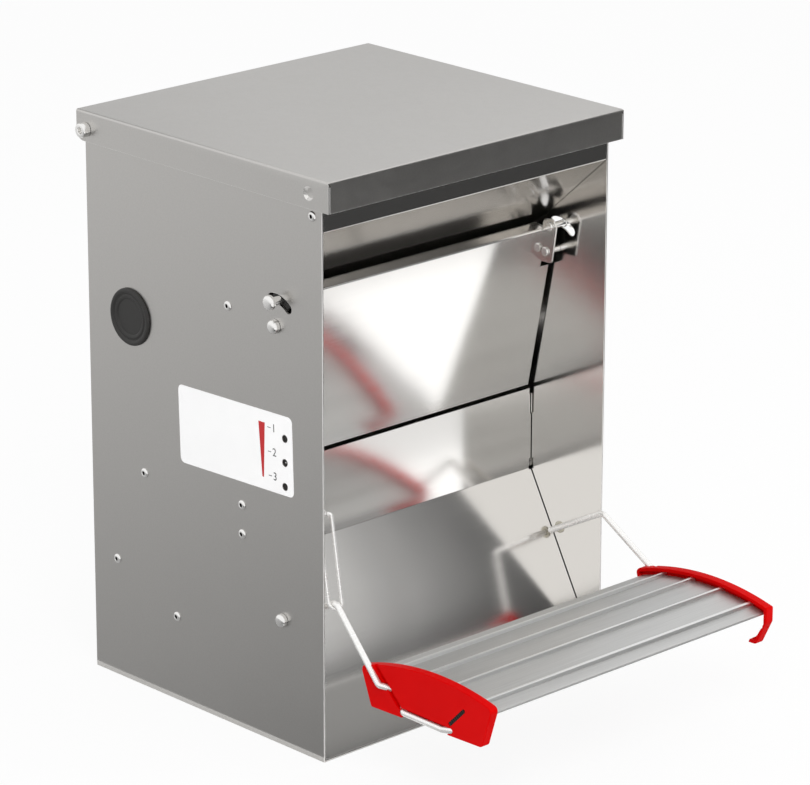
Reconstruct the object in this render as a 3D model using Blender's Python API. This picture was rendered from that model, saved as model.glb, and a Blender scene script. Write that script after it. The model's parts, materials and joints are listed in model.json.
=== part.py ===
"""A treadle feeder for ducks, in folded galvanised sheet.

The birds stand on the treadle, its wire arms turn on the side panels, a link rod
pulls two crank pins down their curved slots, and the feed door swings inwards.
Lengths are in metres and built up in the feeder's own corner frame: x runs from the
left panel's outer face, y runs back from the panels' front edges, z runs up from the
floor. One empty then moves all of it so that the origin is under the base's middle.
"""
import math

import bmesh
import bpy
from mathutils import Matrix, Vector

MM = 0.001


def mm(*values):
    """Millimetres as a tuple of metres."""
    return tuple(value * MM for value in values)


# Housing
WIDTH = 330 * MM
DEPTH = 298 * MM
HEIGHT = 507 * MM
PANEL = 1.5 * MM
SHEET = 1.2 * MM
GAP = 0.3 * MM
BEND_RADIUS = 1.5 * MM
BACK_FLANGE = 15 * MM
BASE_FLANGE = 14 * MM
BASE_RISE = 1.5 * MM

# Lid
LID_SHEET = 1.5 * MM
LID_SIDE_OVERHANG = 4.65 * MM
LID_FRONT_OVERHANG = 12.8 * MM
LID_REAR_OVERHANG = 5.8 * MM
LID_DROP = 26.6 * MM
LID_EDGE_RADIUS = 2.0 * MM
LID_CORNER_RADIUS = 9 * MM
LID_SLIT_TOP = 3.4 * MM
LID_RELIEF_RADIUS = 1.0 * MM
LID_HINGE_INSET = 7 * MM
LID_HINGE_DROP = 15.7 * MM
CUP_INSET = 10.9 * MM
CUP_DROP = 13.8 * MM
CUP_MOUTH_RADIUS = 6 * MM
CUP_FLOOR_RADIUS = 4.2 * MM

# Hinge screws of the lid
SCREW_RADIUS = 3 * MM
SCREW_HEAD_RADIUS = 6.3 * MM
SCREW_HEAD_LENGTH = 7 * MM
SCREW_SOCKET_RADIUS = 2.9 * MM
SCREW_SOCKET_DEPTH = 3.5 * MM
SPACER_RADIUS = 5.5 * MM
NUT_ACROSS_FLATS = 10 * MM
NUT_HEIGHT = 5 * MM
SCREW_BEYOND_NUT = 1.5 * MM

# Front of the hopper, one sheet: fascia, slope and baffle
FASCIA_INSET = 0.3 * MM
FASCIA_DROP = 46 * MM
FASCIA_TOP_DROP = 4 * MM
SLOPE_ANGLE = math.radians(41.4)
BAFFLE_Y = 156 * MM
BAFFLE_BOTTOM = 222 * MM

# Lower front, one sheet: trough lip and slanted front panel
LIP_Y = 87 * MM
LIP_TOP = 235 * MM
LIP_BOTTOM = 160 * MM
LIP_NOTCH_WIDTH = 2.2 * MM
LIP_NOTCH_HEIGHT = 24 * MM
LIP_RELIEF_HEIGHT = 9 * MM

# Feed floor, one sheet: trough floor and the slope that feeds it
FLOOR_Z = 162 * MM
FLOOR_BEND_Y = 172 * MM
FLOOR_ANGLE = math.radians(26)
FLOOR_FLANGE = 14 * MM

# Brace across the underspace, which ends a little short of the back panel
BRACE_START = mm(176, 64)
BRACE_ANGLE = math.radians(21.8)
BRACE_REAR_GAP = 11.3 * MM

# Side flanges of the inner sheets, along and off the sheet that carries them
FLANGE_DEPTH = 20 * MM
LIP_FLANGE_DEPTH = 25 * MM
LIP_FLANGE_MARGIN = 6 * MM

# Blind rivets
RIVET_RADIUS = 2.0 * MM
RIVET_HEAD_RADIUS = 3.6 * MM
RIVET_HEAD_HEIGHT = 1.4 * MM
RIVET_TAIL_RADIUS = 2.7 * MM
RIVET_TAIL_LENGTH = 2.2 * MM
RIVET_EYE_RADIUS = 1.1 * MM
RIVET_EYE_DEPTH = 0.9 * MM
FASCIA_RIVET = mm(11.6, 12.1)
SLOPE_RIVET = mm(144.6, 11.3)
LIP_RIVET_BACK = 13.9 * MM
LIP_RIVET_HEIGHTS = mm(16.7, 42.7)
FLOOR_RIVET = mm(65.6, 8.4)
BRACE_RIVET_INSET = 15.5 * MM
BRACE_RIVET_OFF = 8.5 * MM
BACK_RIVET_INSET = 9 * MM
BACK_RIVET_HEIGHT = 57.6 * MM
BACK_RIVET_UNDER_FLOOR = 18.8 * MM
BACK_RIVET_UNDER_LID = 86.5 * MM

# Feed door
DOOR_PIVOT_Y = 57 * MM
DOOR_PIVOT_DROP = 137 * MM
DOOR_SIDE_GAP = 4 * MM
DOOR_TOP_RISE = 21 * MM
DOOR_BOTTOM_Y = 88 * MM
DOOR_BOTTOM_GAP = 3.5 * MM
DOOR_TOP_FLANGE = 14 * MM
DOOR_TOP_FLANGE_ANGLE = math.radians(10)
DOOR_TRAVEL = math.radians(28)
EAR_INSET = 15.5 * MM
EAR_SHEET = 1.5 * MM
EAR_RADIUS = 7.5 * MM
EAR_NOTCH_DROP = 16 * MM

# Pins in the door's ears
PIN_RADIUS = 3 * MM
PIN_TAIL_RADIUS = 3.9 * MM
PIN_TAIL_LENGTH = 1.5 * MM
HINGE_HEAD_RADIUS = 6 * MM
HINGE_HEAD_LENGTH = 6 * MM
CRANK_RADIUS = 24 * MM
CRANK_ANGLE = math.radians(12)
CRANK_COLLAR_RADIUS = 5.2 * MM
CRANK_COLLAR_LENGTH = 5 * MM
CRANK_NECK_RADIUS = 3.6 * MM
CRANK_NECK_LENGTH = 3.5 * MM
CRANK_HEAD_RADIUS = 6.6 * MM
CRANK_HEAD_LENGTH = 5.6 * MM
SLOT_WIDTH = 8.2 * MM
SLOT_BEHIND = math.radians(24)

# Treadle
TREADLE_PIVOT = mm(50.3, 113.7)
ARM_RADIUS = 2.25 * MM
ARM_PIVOT_INSET = 17 * MM
ARM_KNEE_INSET = 7.3 * MM
ARM_KNEE = mm(-7.5, 143.8)
ARM_SHOULDER = mm(-52.0, 107.9)
ARM_ENTRY = mm(-70.5, 93.0)
ARM_INSIDE = mm(-81.5, 89.0)
ARM_EXIT = mm(-90.5, 79.5)
ARM_RUN_START = mm(-98.0, 75.4)
ARM_RUN_END = mm(-144.0, 74.4)
ARM_HOOK = mm(-153.0, 80.0)
ARM_BEND_RADIUS = 6 * MM
ARM_TIGHT_RADIUS = 3.4 * MM
PIVOT_CAP_RADIUS = 6 * MM
PIVOT_CAP_LENGTH = 5.5 * MM
BUSH_RADIUS = 4.5 * MM
BUSH_FLANGE_RADIUS = 6.5 * MM
BUSH_FLANGE = 1.5 * MM
CAP_OVERHANG = 2 * MM
CAP_WIDTH = 11.5 * MM
CAP_WALL = 3 * MM
CAP_OUTER_WALL = 4.8 * MM
CAP_REBATE_INSET = 1.4 * MM
CAP_REBATE_DROP = 12 * MM
CAP_ARC_RADIUS = 268 * MM
CAP_CROWN = mm(-134.1, 117.4)
CAP_REAR_TOP_Y = -47 * MM
CAP_FRONT_TOP_Y = -204.6 * MM
CAP_REAR_FOOT = mm(-59.6, 69.7)
CAP_FRONT_FOOT = mm(-193.5, 73.2)
CAP_END_GAP = 0.6 * MM
PLATFORM_SHEET = 2 * MM
RIB_HEIGHT = 3.4 * MM
RIB_WIDTH = 3.2 * MM
RIB_FIRST_Y = -80.5 * MM
RIB_PITCH = 33.6 * MM
RIB_COUNT = 4

# Link rod
LINK_RADIUS = 1.3 * MM
LINK_EYE_INSET = 8.5 * MM
LINK_EYE_CLEARANCE = 1.4 * MM
LINK_REAR_LEG_INSET = 3.4 * MM
LINK_FRONT_LEG_INSET = 12.2 * MM
LINK_HOOK_RADIUS = 5.5 * MM
LINK_HOOK_CLEARANCE = 1.0 * MM
LINK_FRONT_LEG = 76 * MM
LINK_CURL_RADIUS = 3.2 * MM

# Return spring and its three adjuster holes
ADJUSTER_Y = 46.5 * MM
ADJUSTER_Z = 254 * MM
ADJUSTER_PITCH = 21 * MM
ADJUSTER_RADIUS = 3.2 * MM
SPRING_WIRE = 0.65 * MM
SPRING_COIL_RADIUS = 3.4 * MM
SPRING_PITCH = 2.3 * MM
SPRING_TURNS = 10
SPRING_INSET = 9.0 * MM
SPRING_LOWER_LEG = 18 * MM
SPRING_SEAT_SHARE = 0.5
SPRING_LOOP_CLEARANCE = 0.65 * MM
POINTS_PER_TURN = 10

# Plug over the filling hole
PLUG_BEHIND = 56.2 * MM
PLUG_Z = 335.5 * MM
PLUG_RADIUS = 26.7 * MM
PLUG_HOLE_RADIUS = 22 * MM
PLUG_FLANGE = 2.6 * MM
PLUG_SKIRT = 9 * MM
PLUG_WALL = 2 * MM

# Places that follow from the sizes above
INSIDE = PANEL + GAP
FASCIA_BOTTOM = HEIGHT - FASCIA_DROP
LID_BOTTOM = HEIGHT - LID_DROP
LID_PIVOT = (DEPTH - LID_HINGE_INSET, HEIGHT - LID_HINGE_DROP)
DOOR_PIVOT = (DOOR_PIVOT_Y, HEIGHT - DOOR_PIVOT_DROP)
PLUG_CENTRE = (DEPTH - PLUG_BEHIND, PLUG_Z)
BACK_PANEL_REAR = DEPTH - PANEL - GAP
BACK_PANEL_FRONT = BACK_PANEL_REAR - SHEET
CAP_OUTER = -CAP_OVERHANG
CAP_INNER = CAP_OUTER + CAP_WIDTH
CAP_ARC_CENTRE = (CAP_CROWN[0], CAP_CROWN[1] - CAP_ARC_RADIUS)
BRACE_LENGTH = (BACK_PANEL_FRONT - BRACE_REAR_GAP - BRACE_START[0]) / math.cos(BRACE_ANGLE)
FLOOR_REAR_Z = FLOOR_Z - SHEET + (BACK_PANEL_FRONT - GAP - FLOOR_BEND_Y) * math.tan(FLOOR_ANGLE)
BACK_RIVET_HEIGHTS = (
    BACK_RIVET_HEIGHT,
    FLOOR_REAR_Z - BACK_RIVET_UNDER_FLOOR,
    LID_BOTTOM - BACK_RIVET_UNDER_LID,
)
ADJUSTER_HEIGHTS = (ADJUSTER_Z - ADJUSTER_PITCH, ADJUSTER_Z, ADJUSTER_Z + ADJUSTER_PITCH)


def crank_point(angle):
    """Where the crank pins stand once the door has turned through an angle."""
    turned = CRANK_ANGLE + angle
    return (
        DOOR_PIVOT[0] - CRANK_RADIUS * math.sin(turned),
        DOOR_PIVOT[1] + CRANK_RADIUS * math.cos(turned),
    )


CRANK = crank_point(0)


# Scene and bodies

for old in list(bpy.data.objects):
    bpy.data.objects.remove(old, do_unlink=True)


def empty(name, x, y, z, parent=None):
    """An empty at a point of the corner frame, which carries the pieces of one body."""
    made = bpy.data.objects.new(name, None)
    made.empty_display_size = 0.02
    made.location = (x, y, z)
    made.parent = parent
    bpy.context.scene.collection.objects.link(made)
    return made


frame = empty("feeder_frame", -WIDTH / 2, -DEPTH / 2, 0)
BODIES = {
    "housing": (frame, Vector((0, 0, 0))),
    "lid": (
        empty("lid_axis", 0, *LID_PIVOT, frame),
        Vector((0, *LID_PIVOT)),
    ),
    "door": (
        empty("door_axis", 0, *DOOR_PIVOT, frame),
        Vector((0, *DOOR_PIVOT)),
    ),
    "treadle": (
        empty("treadle_axis", 0, *TREADLE_PIVOT, frame),
        Vector((0, *TREADLE_PIVOT)),
    ),
    "link": (
        empty("link_axis", 0, *ARM_KNEE, frame),
        Vector((0, *ARM_KNEE)),
    ),
}


# Materials

def linear(hex_colour):
    """An sRGB hex colour as linear RGBA."""
    channels = [int(hex_colour[i : i + 2], 16) / 255 for i in (1, 3, 5)]
    return [
        c / 12.92 if c <= 0.04045 else ((c + 0.055) / 1.055) ** 2.4 for c in channels
    ] + [1.0]


def material(name, hex_colour, metallic, roughness):
    made = bpy.data.materials.new(name)
    made.use_nodes = True
    shader = made.node_tree.nodes["Principled BSDF"]
    shader.inputs["Base Color"].default_value = linear(hex_colour)
    shader.inputs["Metallic"].default_value = metallic
    shader.inputs["Roughness"].default_value = roughness
    return made


GALVANISED = material("galvanised_sheet", "#A3A19E", 1.0, 0.38)
INNER_SHEET = material("bright_inner_sheet", "#B9B7B4", 1.0, 0.25)
ZINC = material("zinc_plated_steel", "#D2D2D0", 1.0, 0.22)
WIRE = material("zinc_plated_wire", "#DADAD8", 1.0, 0.2)
ALUMINIUM = material("brushed_aluminium", "#B5B5B4", 1.0, 0.35)
RED_PLASTIC = material("red_polypropylene", "#D00A0C", 0.0, 0.4)
BLACK_PLASTIC = material("black_polyethylene", "#3A3936", 0.0, 0.45)
NYLON = material("natural_nylon", "#D8D4C6", 0.0, 0.5)


# Shapes

def rounded(points, radius, steps=4, closed=False):
    """An outline or a route with arcs for its corners. radius is one value, or one for each point."""
    points = [Vector(p) for p in points]
    count = len(points)
    radii = radius if isinstance(radius, (list, tuple)) else [radius] * count
    result = []
    for i, corner in enumerate(points):
        at_end = not closed and i in (0, count - 1)
        before = points[i - 1]
        after = points[(i + 1) % count]
        if at_end or radii[i] <= 0:
            result.append(corner)
            continue
        to_before = (before - corner).normalized()
        to_after = (after - corner).normalized()
        opening = to_before.angle(to_after)
        if opening > math.radians(178):
            result.append(corner)
            continue
        reach = radii[i] / math.tan(opening / 2)
        centre = corner + (to_before + to_after).normalized() * radii[i] / math.sin(opening / 2)
        first = corner + to_before * reach - centre
        last = corner + to_after * reach - centre
        turn = math.pi - opening
        for step in range(steps + 1):
            share = step / steps
            arm = (first * math.sin((1 - share) * turn) + last * math.sin(share * turn)) / math.sin(turn)
            result.append(centre + arm)
    return result


def beside(path, distance):
    """The path moved sideways by a distance, to its left for a positive one, with mitred corners."""
    result = []
    for i, point in enumerate(path):
        normals = []
        for start, end in ((i - 1, i), (i, i + 1)):
            if 0 <= start and end < len(path):
                along = (path[end] - path[start]).normalized()
                normals.append(Vector((-along.y, along.x)))
        mitre = sum(normals, Vector((0, 0))).normalized()
        result.append(point + mitre * distance / mitre.dot(normals[0]))
    return result


def prism(outline, start, end):
    """A solid from a closed outline of (y, z) points, between two values of x."""
    made = bmesh.new()
    corners = [made.verts.new((start, y, z)) for y, z in outline]
    face = made.faces.new(corners)
    grown = bmesh.ops.extrude_face_region(made, geom=[face])
    moved = [v for v in grown["geom"] if isinstance(v, bmesh.types.BMVert)]
    bmesh.ops.translate(made, vec=(end - start, 0, 0), verts=moved)
    bmesh.ops.recalc_face_normals(made, faces=made.faces)
    return made


def folded(corners, thickness, start, end, radius=BEND_RADIUS):
    """A sheet bent along (y, z) corners, with its thickness on the left of the route."""
    path = rounded([Vector(c) for c in corners], radius, steps=3)
    return prism(path + beside(path, thickness)[::-1], start, end)


def block(low, high):
    """A box between two corners."""
    made = bmesh.new()
    bmesh.ops.create_cube(made, size=1)
    size = Vector(high) - Vector(low)
    bmesh.ops.scale(made, vec=size, verts=made.verts)
    bmesh.ops.translate(made, vec=(Vector(low) + Vector(high)) / 2, verts=made.verts)
    return made


def turned(profile, sides, place, direction):
    """A turned solid from (radius, height) points, its height running along a direction from a place."""
    made = bmesh.new()
    rim = [made.verts.new((radius, 0, height)) for radius, height in profile]
    edges = [made.edges.new(pair) for pair in zip(rim, rim[1:])]
    if profile[0][0] > 0:
        edges.append(made.edges.new((rim[-1], rim[0])))
    bmesh.ops.spin(
        made,
        geom=rim + edges,
        cent=(0, 0, 0),
        axis=(0, 0, 1),
        angle=math.tau,
        steps=sides,
        use_merge=True,
    )
    bmesh.ops.remove_doubles(made, verts=made.verts, dist=1e-6)
    bmesh.ops.recalc_face_normals(made, faces=made.faces)
    aim = Vector((0, 0, 1)).rotation_difference(Vector(direction)).to_matrix().to_4x4()
    bmesh.ops.transform(made, matrix=Matrix.Translation(place) @ aim, verts=made.verts)
    return made


def drum(radius, length, sides, place, direction):
    """A plain cylinder from a place along a direction."""
    profile = [(0, 0), (radius, 0), (radius, length), (0, length)]
    return turned(profile, sides, place, direction)


def mirrored(shape):
    """A shape of the left side, turned into its right-hand twin."""
    bmesh.ops.scale(shape, vec=(-1, 1, 1), verts=shape.verts)
    bmesh.ops.translate(shape, vec=(WIDTH, 0, 0), verts=shape.verts)
    bmesh.ops.reverse_faces(shape, faces=shape.faces)
    return shape


def merged(shapes):
    """Several separate shapes in one bmesh, for one cutter."""
    whole = bmesh.new()
    for shape in shapes:
        mesh = bpy.data.meshes.new("shape")
        shape.to_mesh(mesh)
        shape.free()
        whole.from_mesh(mesh)
        bpy.data.meshes.remove(mesh)
    return whole


def piece(name, shape, look, body, smooth=False):
    """A named object from a bmesh, with its material, on the empty of its body."""
    mesh = bpy.data.meshes.new(name)
    shape.to_mesh(mesh)
    shape.free()
    made = bpy.data.objects.new(name, mesh)
    bpy.context.scene.collection.objects.link(made)
    mesh.materials.append(look)
    if smooth:
        mesh.shade_smooth()
        mesh.set_sharp_from_angle(angle=math.radians(35))
    carry(made, body)
    return made


def carry(made, body):
    """Hangs an object on the empty of a body and leaves it where it is."""
    holder, place = BODIES[body]
    made.parent = holder
    made.matrix_parent_inverse = Matrix.Translation(-place)


def combine(target, shape, operation):
    """Adds or cuts a shape with a Boolean, applied at once so that no helper is left."""
    mesh = bpy.data.meshes.new("helper")
    shape.to_mesh(mesh)
    shape.free()
    helper = bpy.data.objects.new("helper", mesh)
    helper.hide_render = True
    helper.display_type = "WIRE"
    bpy.context.scene.collection.objects.link(helper)
    carry(helper, "housing")
    modifier = target.modifiers.new(operation.lower(), "BOOLEAN")
    modifier.operation = operation
    modifier.solver = "EXACT"
    modifier.object = helper
    bpy.context.view_layer.update()
    evaluated = target.evaluated_get(bpy.context.evaluated_depsgraph_get())
    result = bpy.data.meshes.new_from_object(evaluated)
    target.modifiers.clear()
    target.data = result
    bpy.data.objects.remove(helper, do_unlink=True)
    bpy.data.meshes.remove(mesh)
    return target


def add(target, shape):
    return combine(target, shape, "UNION")


def cut(target, shape):
    return combine(target, shape, "DIFFERENCE")


def wire(name, route, radius, look, body, resolution=2):
    """A round wire along a route of points, with closed ends."""
    curve = bpy.data.curves.new(name, "CURVE")
    curve.dimensions = "3D"
    curve.bevel_depth = radius
    curve.bevel_resolution = resolution
    curve.use_fill_caps = True
    spline = curve.splines.new("POLY")
    spline.points.add(len(route) - 1)
    for point, place in zip(spline.points, route):
        point.co = (*place, 1)
    curve.materials.append(look)
    made = bpy.data.objects.new(name, curve)
    bpy.context.scene.collection.objects.link(made)
    carry(made, body)
    return made


def along(start, angle, distance, off):
    """A point at a distance along a slanted line of the y-z plane and off it, upwards."""
    return (
        start[0] + distance * math.cos(angle) - off * math.sin(angle),
        start[1] + distance * math.sin(angle) + off * math.cos(angle),
    )


def side_flange(start, angle, first, last, depth):
    """Both side flanges of a slanted sheet, bent up along its edges."""
    root = SHEET / 2
    ends = ((first, root), (last, root), (last, depth), (first, depth))
    outline = [along(start, angle, distance, off) for distance, off in ends]
    left = prism(outline, INSIDE, INSIDE + SHEET)
    right = mirrored(prism(outline, INSIDE, INSIDE + SHEET))
    return merged([left, right])


def both_sides(make):
    """A left shape and its mirrored twin in one bmesh."""
    return merged([make(), mirrored(make())])


# Rivets through a side panel, each tied to the sheet it holds

SLOPE_START = (FASCIA_INSET, FASCIA_BOTTOM)
FLOOR_START = (FLOOR_BEND_Y, FLOOR_Z)
SIDE_RIVETS = {
    "fascia": (FASCIA_RIVET[0], FASCIA_BOTTOM + FASCIA_RIVET[1]),
    "slope": along(SLOPE_START, -SLOPE_ANGLE, *SLOPE_RIVET),
    "lip_upper": (LIP_Y + LIP_RIVET_BACK, LIP_BOTTOM + LIP_RIVET_HEIGHTS[1]),
    "lip_lower": (LIP_Y + LIP_RIVET_BACK, LIP_BOTTOM + LIP_RIVET_HEIGHTS[0]),
    "floor": along(FLOOR_START, FLOOR_ANGLE, *FLOOR_RIVET),
    "brace_front": along(BRACE_START, BRACE_ANGLE, BRACE_RIVET_INSET, BRACE_RIVET_OFF),
    "brace_rear": along(BRACE_START, BRACE_ANGLE, BRACE_LENGTH - BRACE_RIVET_INSET, BRACE_RIVET_OFF),
}
SIDE_GRIP = PANEL + GAP + SHEET


def rivet_profile(grip):
    """A blind rivet: tail, shank and domed head with the eye its pulled stem leaves."""
    back = -grip - GAP
    top = GAP + RIVET_HEAD_HEIGHT
    return [
        (0, back - RIVET_TAIL_LENGTH),
        (RIVET_TAIL_RADIUS * 0.8, back - RIVET_TAIL_LENGTH),
        (RIVET_TAIL_RADIUS, back),
        (RIVET_RADIUS, back),
        (RIVET_RADIUS, GAP),
        (RIVET_HEAD_RADIUS, GAP),
        (RIVET_HEAD_RADIUS, GAP + RIVET_HEAD_HEIGHT * 0.25),
        (RIVET_HEAD_RADIUS * 0.72, GAP + RIVET_HEAD_HEIGHT * 0.8),
        (RIVET_EYE_RADIUS, top),
        (RIVET_EYE_RADIUS, top - RIVET_EYE_DEPTH),
        (0, top - RIVET_EYE_DEPTH),
    ]


def side_holes(names, depth):
    """Drilled rivet holes at the left side, down to a depth from the outer face."""
    start = -GAP
    return [
        drum(RIVET_RADIUS + GAP, depth - start, 12, (start, *SIDE_RIVETS[name]), (1, 0, 0))
        for name in names
    ]


def drill_sides(target, names):
    """Rivet holes through both side flanges of a sheet."""
    depth = INSIDE + 3 * SHEET
    cut(target, merged(side_holes(names, depth)))
    cut(target, mirrored(merged(side_holes(names, depth))))
    return target


# Side panels

def crank_slot():
    """The outline of the curved slot, round at both ends, about the door's hinge."""
    half = SLOT_WIDTH / 2
    first = CRANK_ANGLE - SLOT_BEHIND
    last = CRANK_ANGLE + DOOR_TRAVEL + (half - PIN_RADIUS) * 0.6 / CRANK_RADIUS
    outline = []

    def polar(radius, angle):
        return (
            DOOR_PIVOT[0] - radius * math.sin(angle),
            DOOR_PIVOT[1] + radius * math.cos(angle),
        )

    steps = 8
    for i in range(steps + 1):
        outline.append(polar(CRANK_RADIUS + half, first + (last - first) * i / steps))
    for i in range(1, 6):
        around = math.pi * i / 6
        middle = polar(CRANK_RADIUS, last)
        radial = half * math.cos(around)
        onward = half * math.sin(around)
        outline.append(
            (
                middle[0] - radial * math.sin(last) - onward * math.cos(last),
                middle[1] + radial * math.cos(last) - onward * math.sin(last),
            )
        )
    for i in range(steps + 1):
        outline.append(polar(CRANK_RADIUS - half, last + (first - last) * i / steps))
    for i in range(1, 6):
        around = math.pi * i / 6
        middle = polar(CRANK_RADIUS, first)
        radial = -half * math.cos(around)
        onward = -half * math.sin(around)
        outline.append(
            (
                middle[0] - radial * math.sin(first) - onward * math.cos(first),
                middle[1] + radial * math.cos(first) - onward * math.sin(first),
            )
        )
    return outline


def side_panel(side):
    """One side: a flat sheet with its rear edge bent in to carry the back panel."""
    top = HEIGHT - LID_SHEET - GAP
    corner = LID_HINGE_DROP - LID_SHEET - GAP
    outline = rounded([(0, 0), (DEPTH, 0), (DEPTH, top), (0, top)], [0, 0, corner, 0], 5, True)
    panel = prism(outline, 0, PANEL)
    flange_top = LID_BOTTOM - GAP
    flange = block((PANEL / 2, DEPTH - PANEL, 0), (BACK_FLANGE, DEPTH, flange_top))
    holes = side_holes(SIDE_RIVETS, PANEL + GAP)
    round_holes = [
        (SCREW_RADIUS + GAP, LID_PIVOT),
        (PIN_RADIUS + GAP, DOOR_PIVOT),
        (BUSH_RADIUS + GAP, TREADLE_PIVOT),
    ]
    if side == "left":
        round_holes += [(ADJUSTER_RADIUS, (ADJUSTER_Y, z)) for z in ADJUSTER_HEIGHTS]
        round_holes += [(PLUG_HOLE_RADIUS, PLUG_CENTRE)]
    for radius, place in round_holes:
        sides = 28 if radius > PIVOT_CAP_RADIUS else 14
        holes.append(drum(radius, PANEL + 2 * GAP, sides, (-GAP, *place), (1, 0, 0)))
    holes.append(prism(crank_slot(), -GAP, PANEL + GAP))
    for z in BACK_RIVET_HEIGHTS:
        start = (BACK_RIVET_INSET, DEPTH + GAP, z)
        holes.append(drum(RIVET_RADIUS + GAP, PANEL + 2 * GAP, 12, start, (0, -1, 0)))
    shapes = [panel, flange, merged(holes)]
    if side == "right":
        shapes = [mirrored(shape) for shape in shapes]
    made = piece("side_panel_" + side, shapes[0], GALVANISED, "housing")
    add(made, shapes[1])
    return cut(made, shapes[2])


def back_panel():
    top = HEIGHT - LID_SHEET - LID_REAR_OVERHANG
    made = piece(
        "back_panel",
        block((INSIDE, BACK_PANEL_FRONT, BASE_RISE), (WIDTH - INSIDE, BACK_PANEL_REAR, top)),
        GALVANISED,
        "housing",
    )

    def corner():
        return block((0, BACK_PANEL_FRONT - GAP, LID_BOTTOM - GAP), (BACK_FLANGE, DEPTH, HEIGHT))

    def holes():
        return merged(
            [
                drum(RIVET_RADIUS + GAP, PANEL + 3 * SHEET, 12, (BACK_RIVET_INSET, DEPTH, z), (0, -1, 0))
                for z in BACK_RIVET_HEIGHTS
            ]
        )

    cut(made, both_sides(corner))
    return cut(made, both_sides(holes))


# Inner sheets

def hopper_front():
    """Fascia under the lid, slope above the door and baffle behind it, folded from one sheet."""
    run = BAFFLE_Y - FASCIA_INSET
    slope_end = (BAFFLE_Y, FASCIA_BOTTOM - run * math.tan(SLOPE_ANGLE))
    route = [
        (FASCIA_INSET, HEIGHT - FASCIA_TOP_DROP),
        SLOPE_START,
        slope_end,
        (BAFFLE_Y, BAFFLE_BOTTOM),
    ]
    made = piece("hopper_front", folded(route, SHEET, INSIDE, WIDTH - INSIDE), INNER_SHEET, "housing")
    reach = 0.6 * FLANGE_DEPTH

    def fascia_flange():
        centre = SIDE_RIVETS["fascia"][1]
        low = (INSIDE, FASCIA_INSET + SHEET / 2, centre - reach + MM)
        return block(low, (INSIDE + SHEET, FLANGE_DEPTH, centre + reach))

    add(made, both_sides(fascia_flange))
    first = SLOPE_RIVET[0] - FLANGE_DEPTH
    add(made, side_flange(SLOPE_START, -SLOPE_ANGLE, first, first + 2 * FLANGE_DEPTH, FLANGE_DEPTH))
    return drill_sides(made, ("fascia", "slope"))


def trough_front():
    """The upright lip and the slanted front panel under it, folded from one sheet."""
    route = [(LIP_Y, LIP_TOP), (LIP_Y, LIP_BOTTOM), (FASCIA_INSET, BASE_RISE + SHEET / 2)]
    made = piece("trough_front", folded(route, SHEET, INSIDE, WIDTH - INSIDE), INNER_SHEET, "housing")

    def lip_flange():
        low = (INSIDE, LIP_Y + SHEET / 2, LIP_BOTTOM + LIP_FLANGE_MARGIN)
        return block(low, (INSIDE + SHEET, LIP_Y + LIP_FLANGE_DEPTH, LIP_TOP - LIP_FLANGE_MARGIN))

    def notches():
        edge = INSIDE + LIP_NOTCH_WIDTH
        behind = LIP_Y + SHEET + GAP
        top = block((0, LIP_Y - MM, LIP_TOP - LIP_NOTCH_HEIGHT), (edge, behind, LIP_TOP + MM))
        foot = block((0, LIP_Y - 6 * MM, LIP_BOTTOM - MM), (edge, behind, LIP_BOTTOM + LIP_RELIEF_HEIGHT))
        return merged([top, foot])

    add(made, both_sides(lip_flange))
    cut(made, both_sides(notches))
    return drill_sides(made, ("lip_upper", "lip_lower"))


def feed_floor():
    """The trough's floor and the slope that runs down to it from the back panel."""
    front = LIP_Y + SHEET + GAP
    back = BACK_PANEL_FRONT - GAP
    route = [
        (front, FLOOR_Z + FLOOR_FLANGE),
        (front, FLOOR_Z - SHEET),
        (FLOOR_BEND_Y, FLOOR_Z - SHEET),
        (back, FLOOR_REAR_Z),
        (back, FLOOR_REAR_Z + SHEET + FLOOR_FLANGE),
    ]
    made = piece("feed_floor", folded(route, SHEET, INSIDE, WIDTH - INSIDE), INNER_SHEET, "housing")
    first = FLOOR_RIVET[0] - FLANGE_DEPTH
    foot = (FLOOR_BEND_Y, FLOOR_Z - SHEET)
    add(made, side_flange(foot, FLOOR_ANGLE, first, first + 2 * FLANGE_DEPTH, FLANGE_DEPTH))

    def lip_clearance():
        low = (0, LIP_Y, LIP_BOTTOM + LIP_FLANGE_MARGIN - GAP)
        return block(low, (INSIDE + SHEET + GAP, LIP_Y + LIP_FLANGE_DEPTH + GAP, LIP_TOP))

    cut(made, both_sides(lip_clearance))
    return drill_sides(made, ("floor",))


def brace_plate():
    """A flanged plate across the space under the feed floor, which stiffens the side panels."""
    end = along(BRACE_START, BRACE_ANGLE, BRACE_LENGTH, 0)
    made = piece(
        "brace_plate",
        folded([BRACE_START, end], SHEET, INSIDE, WIDTH - INSIDE),
        GALVANISED,
        "housing",
    )
    relief = 2 * SHEET
    add(made, side_flange(BRACE_START, BRACE_ANGLE, relief, BRACE_LENGTH - relief, FLANGE_DEPTH))
    return drill_sides(made, ("brace_front", "brace_rear"))


def base_plate():
    """The bottom: a shallow tray that the feeder stands on."""
    back = BACK_PANEL_FRONT - GAP
    route = [(back, BASE_FLANGE), (back, 0), (FASCIA_INSET, 0)]
    path = rounded(route, BEND_RADIUS, steps=3)
    shape = prism(path + beside(path, -SHEET)[::-1], INSIDE, WIDTH - INSIDE)
    made = piece("base_plate", shape, GALVANISED, "housing")
    front = FASCIA_INSET + BASE_FLANGE

    def side():
        return block((INSIDE, front, SHEET / 2), (INSIDE + SHEET, back - SHEET / 2, BASE_FLANGE))

    return add(made, both_sides(side))


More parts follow.
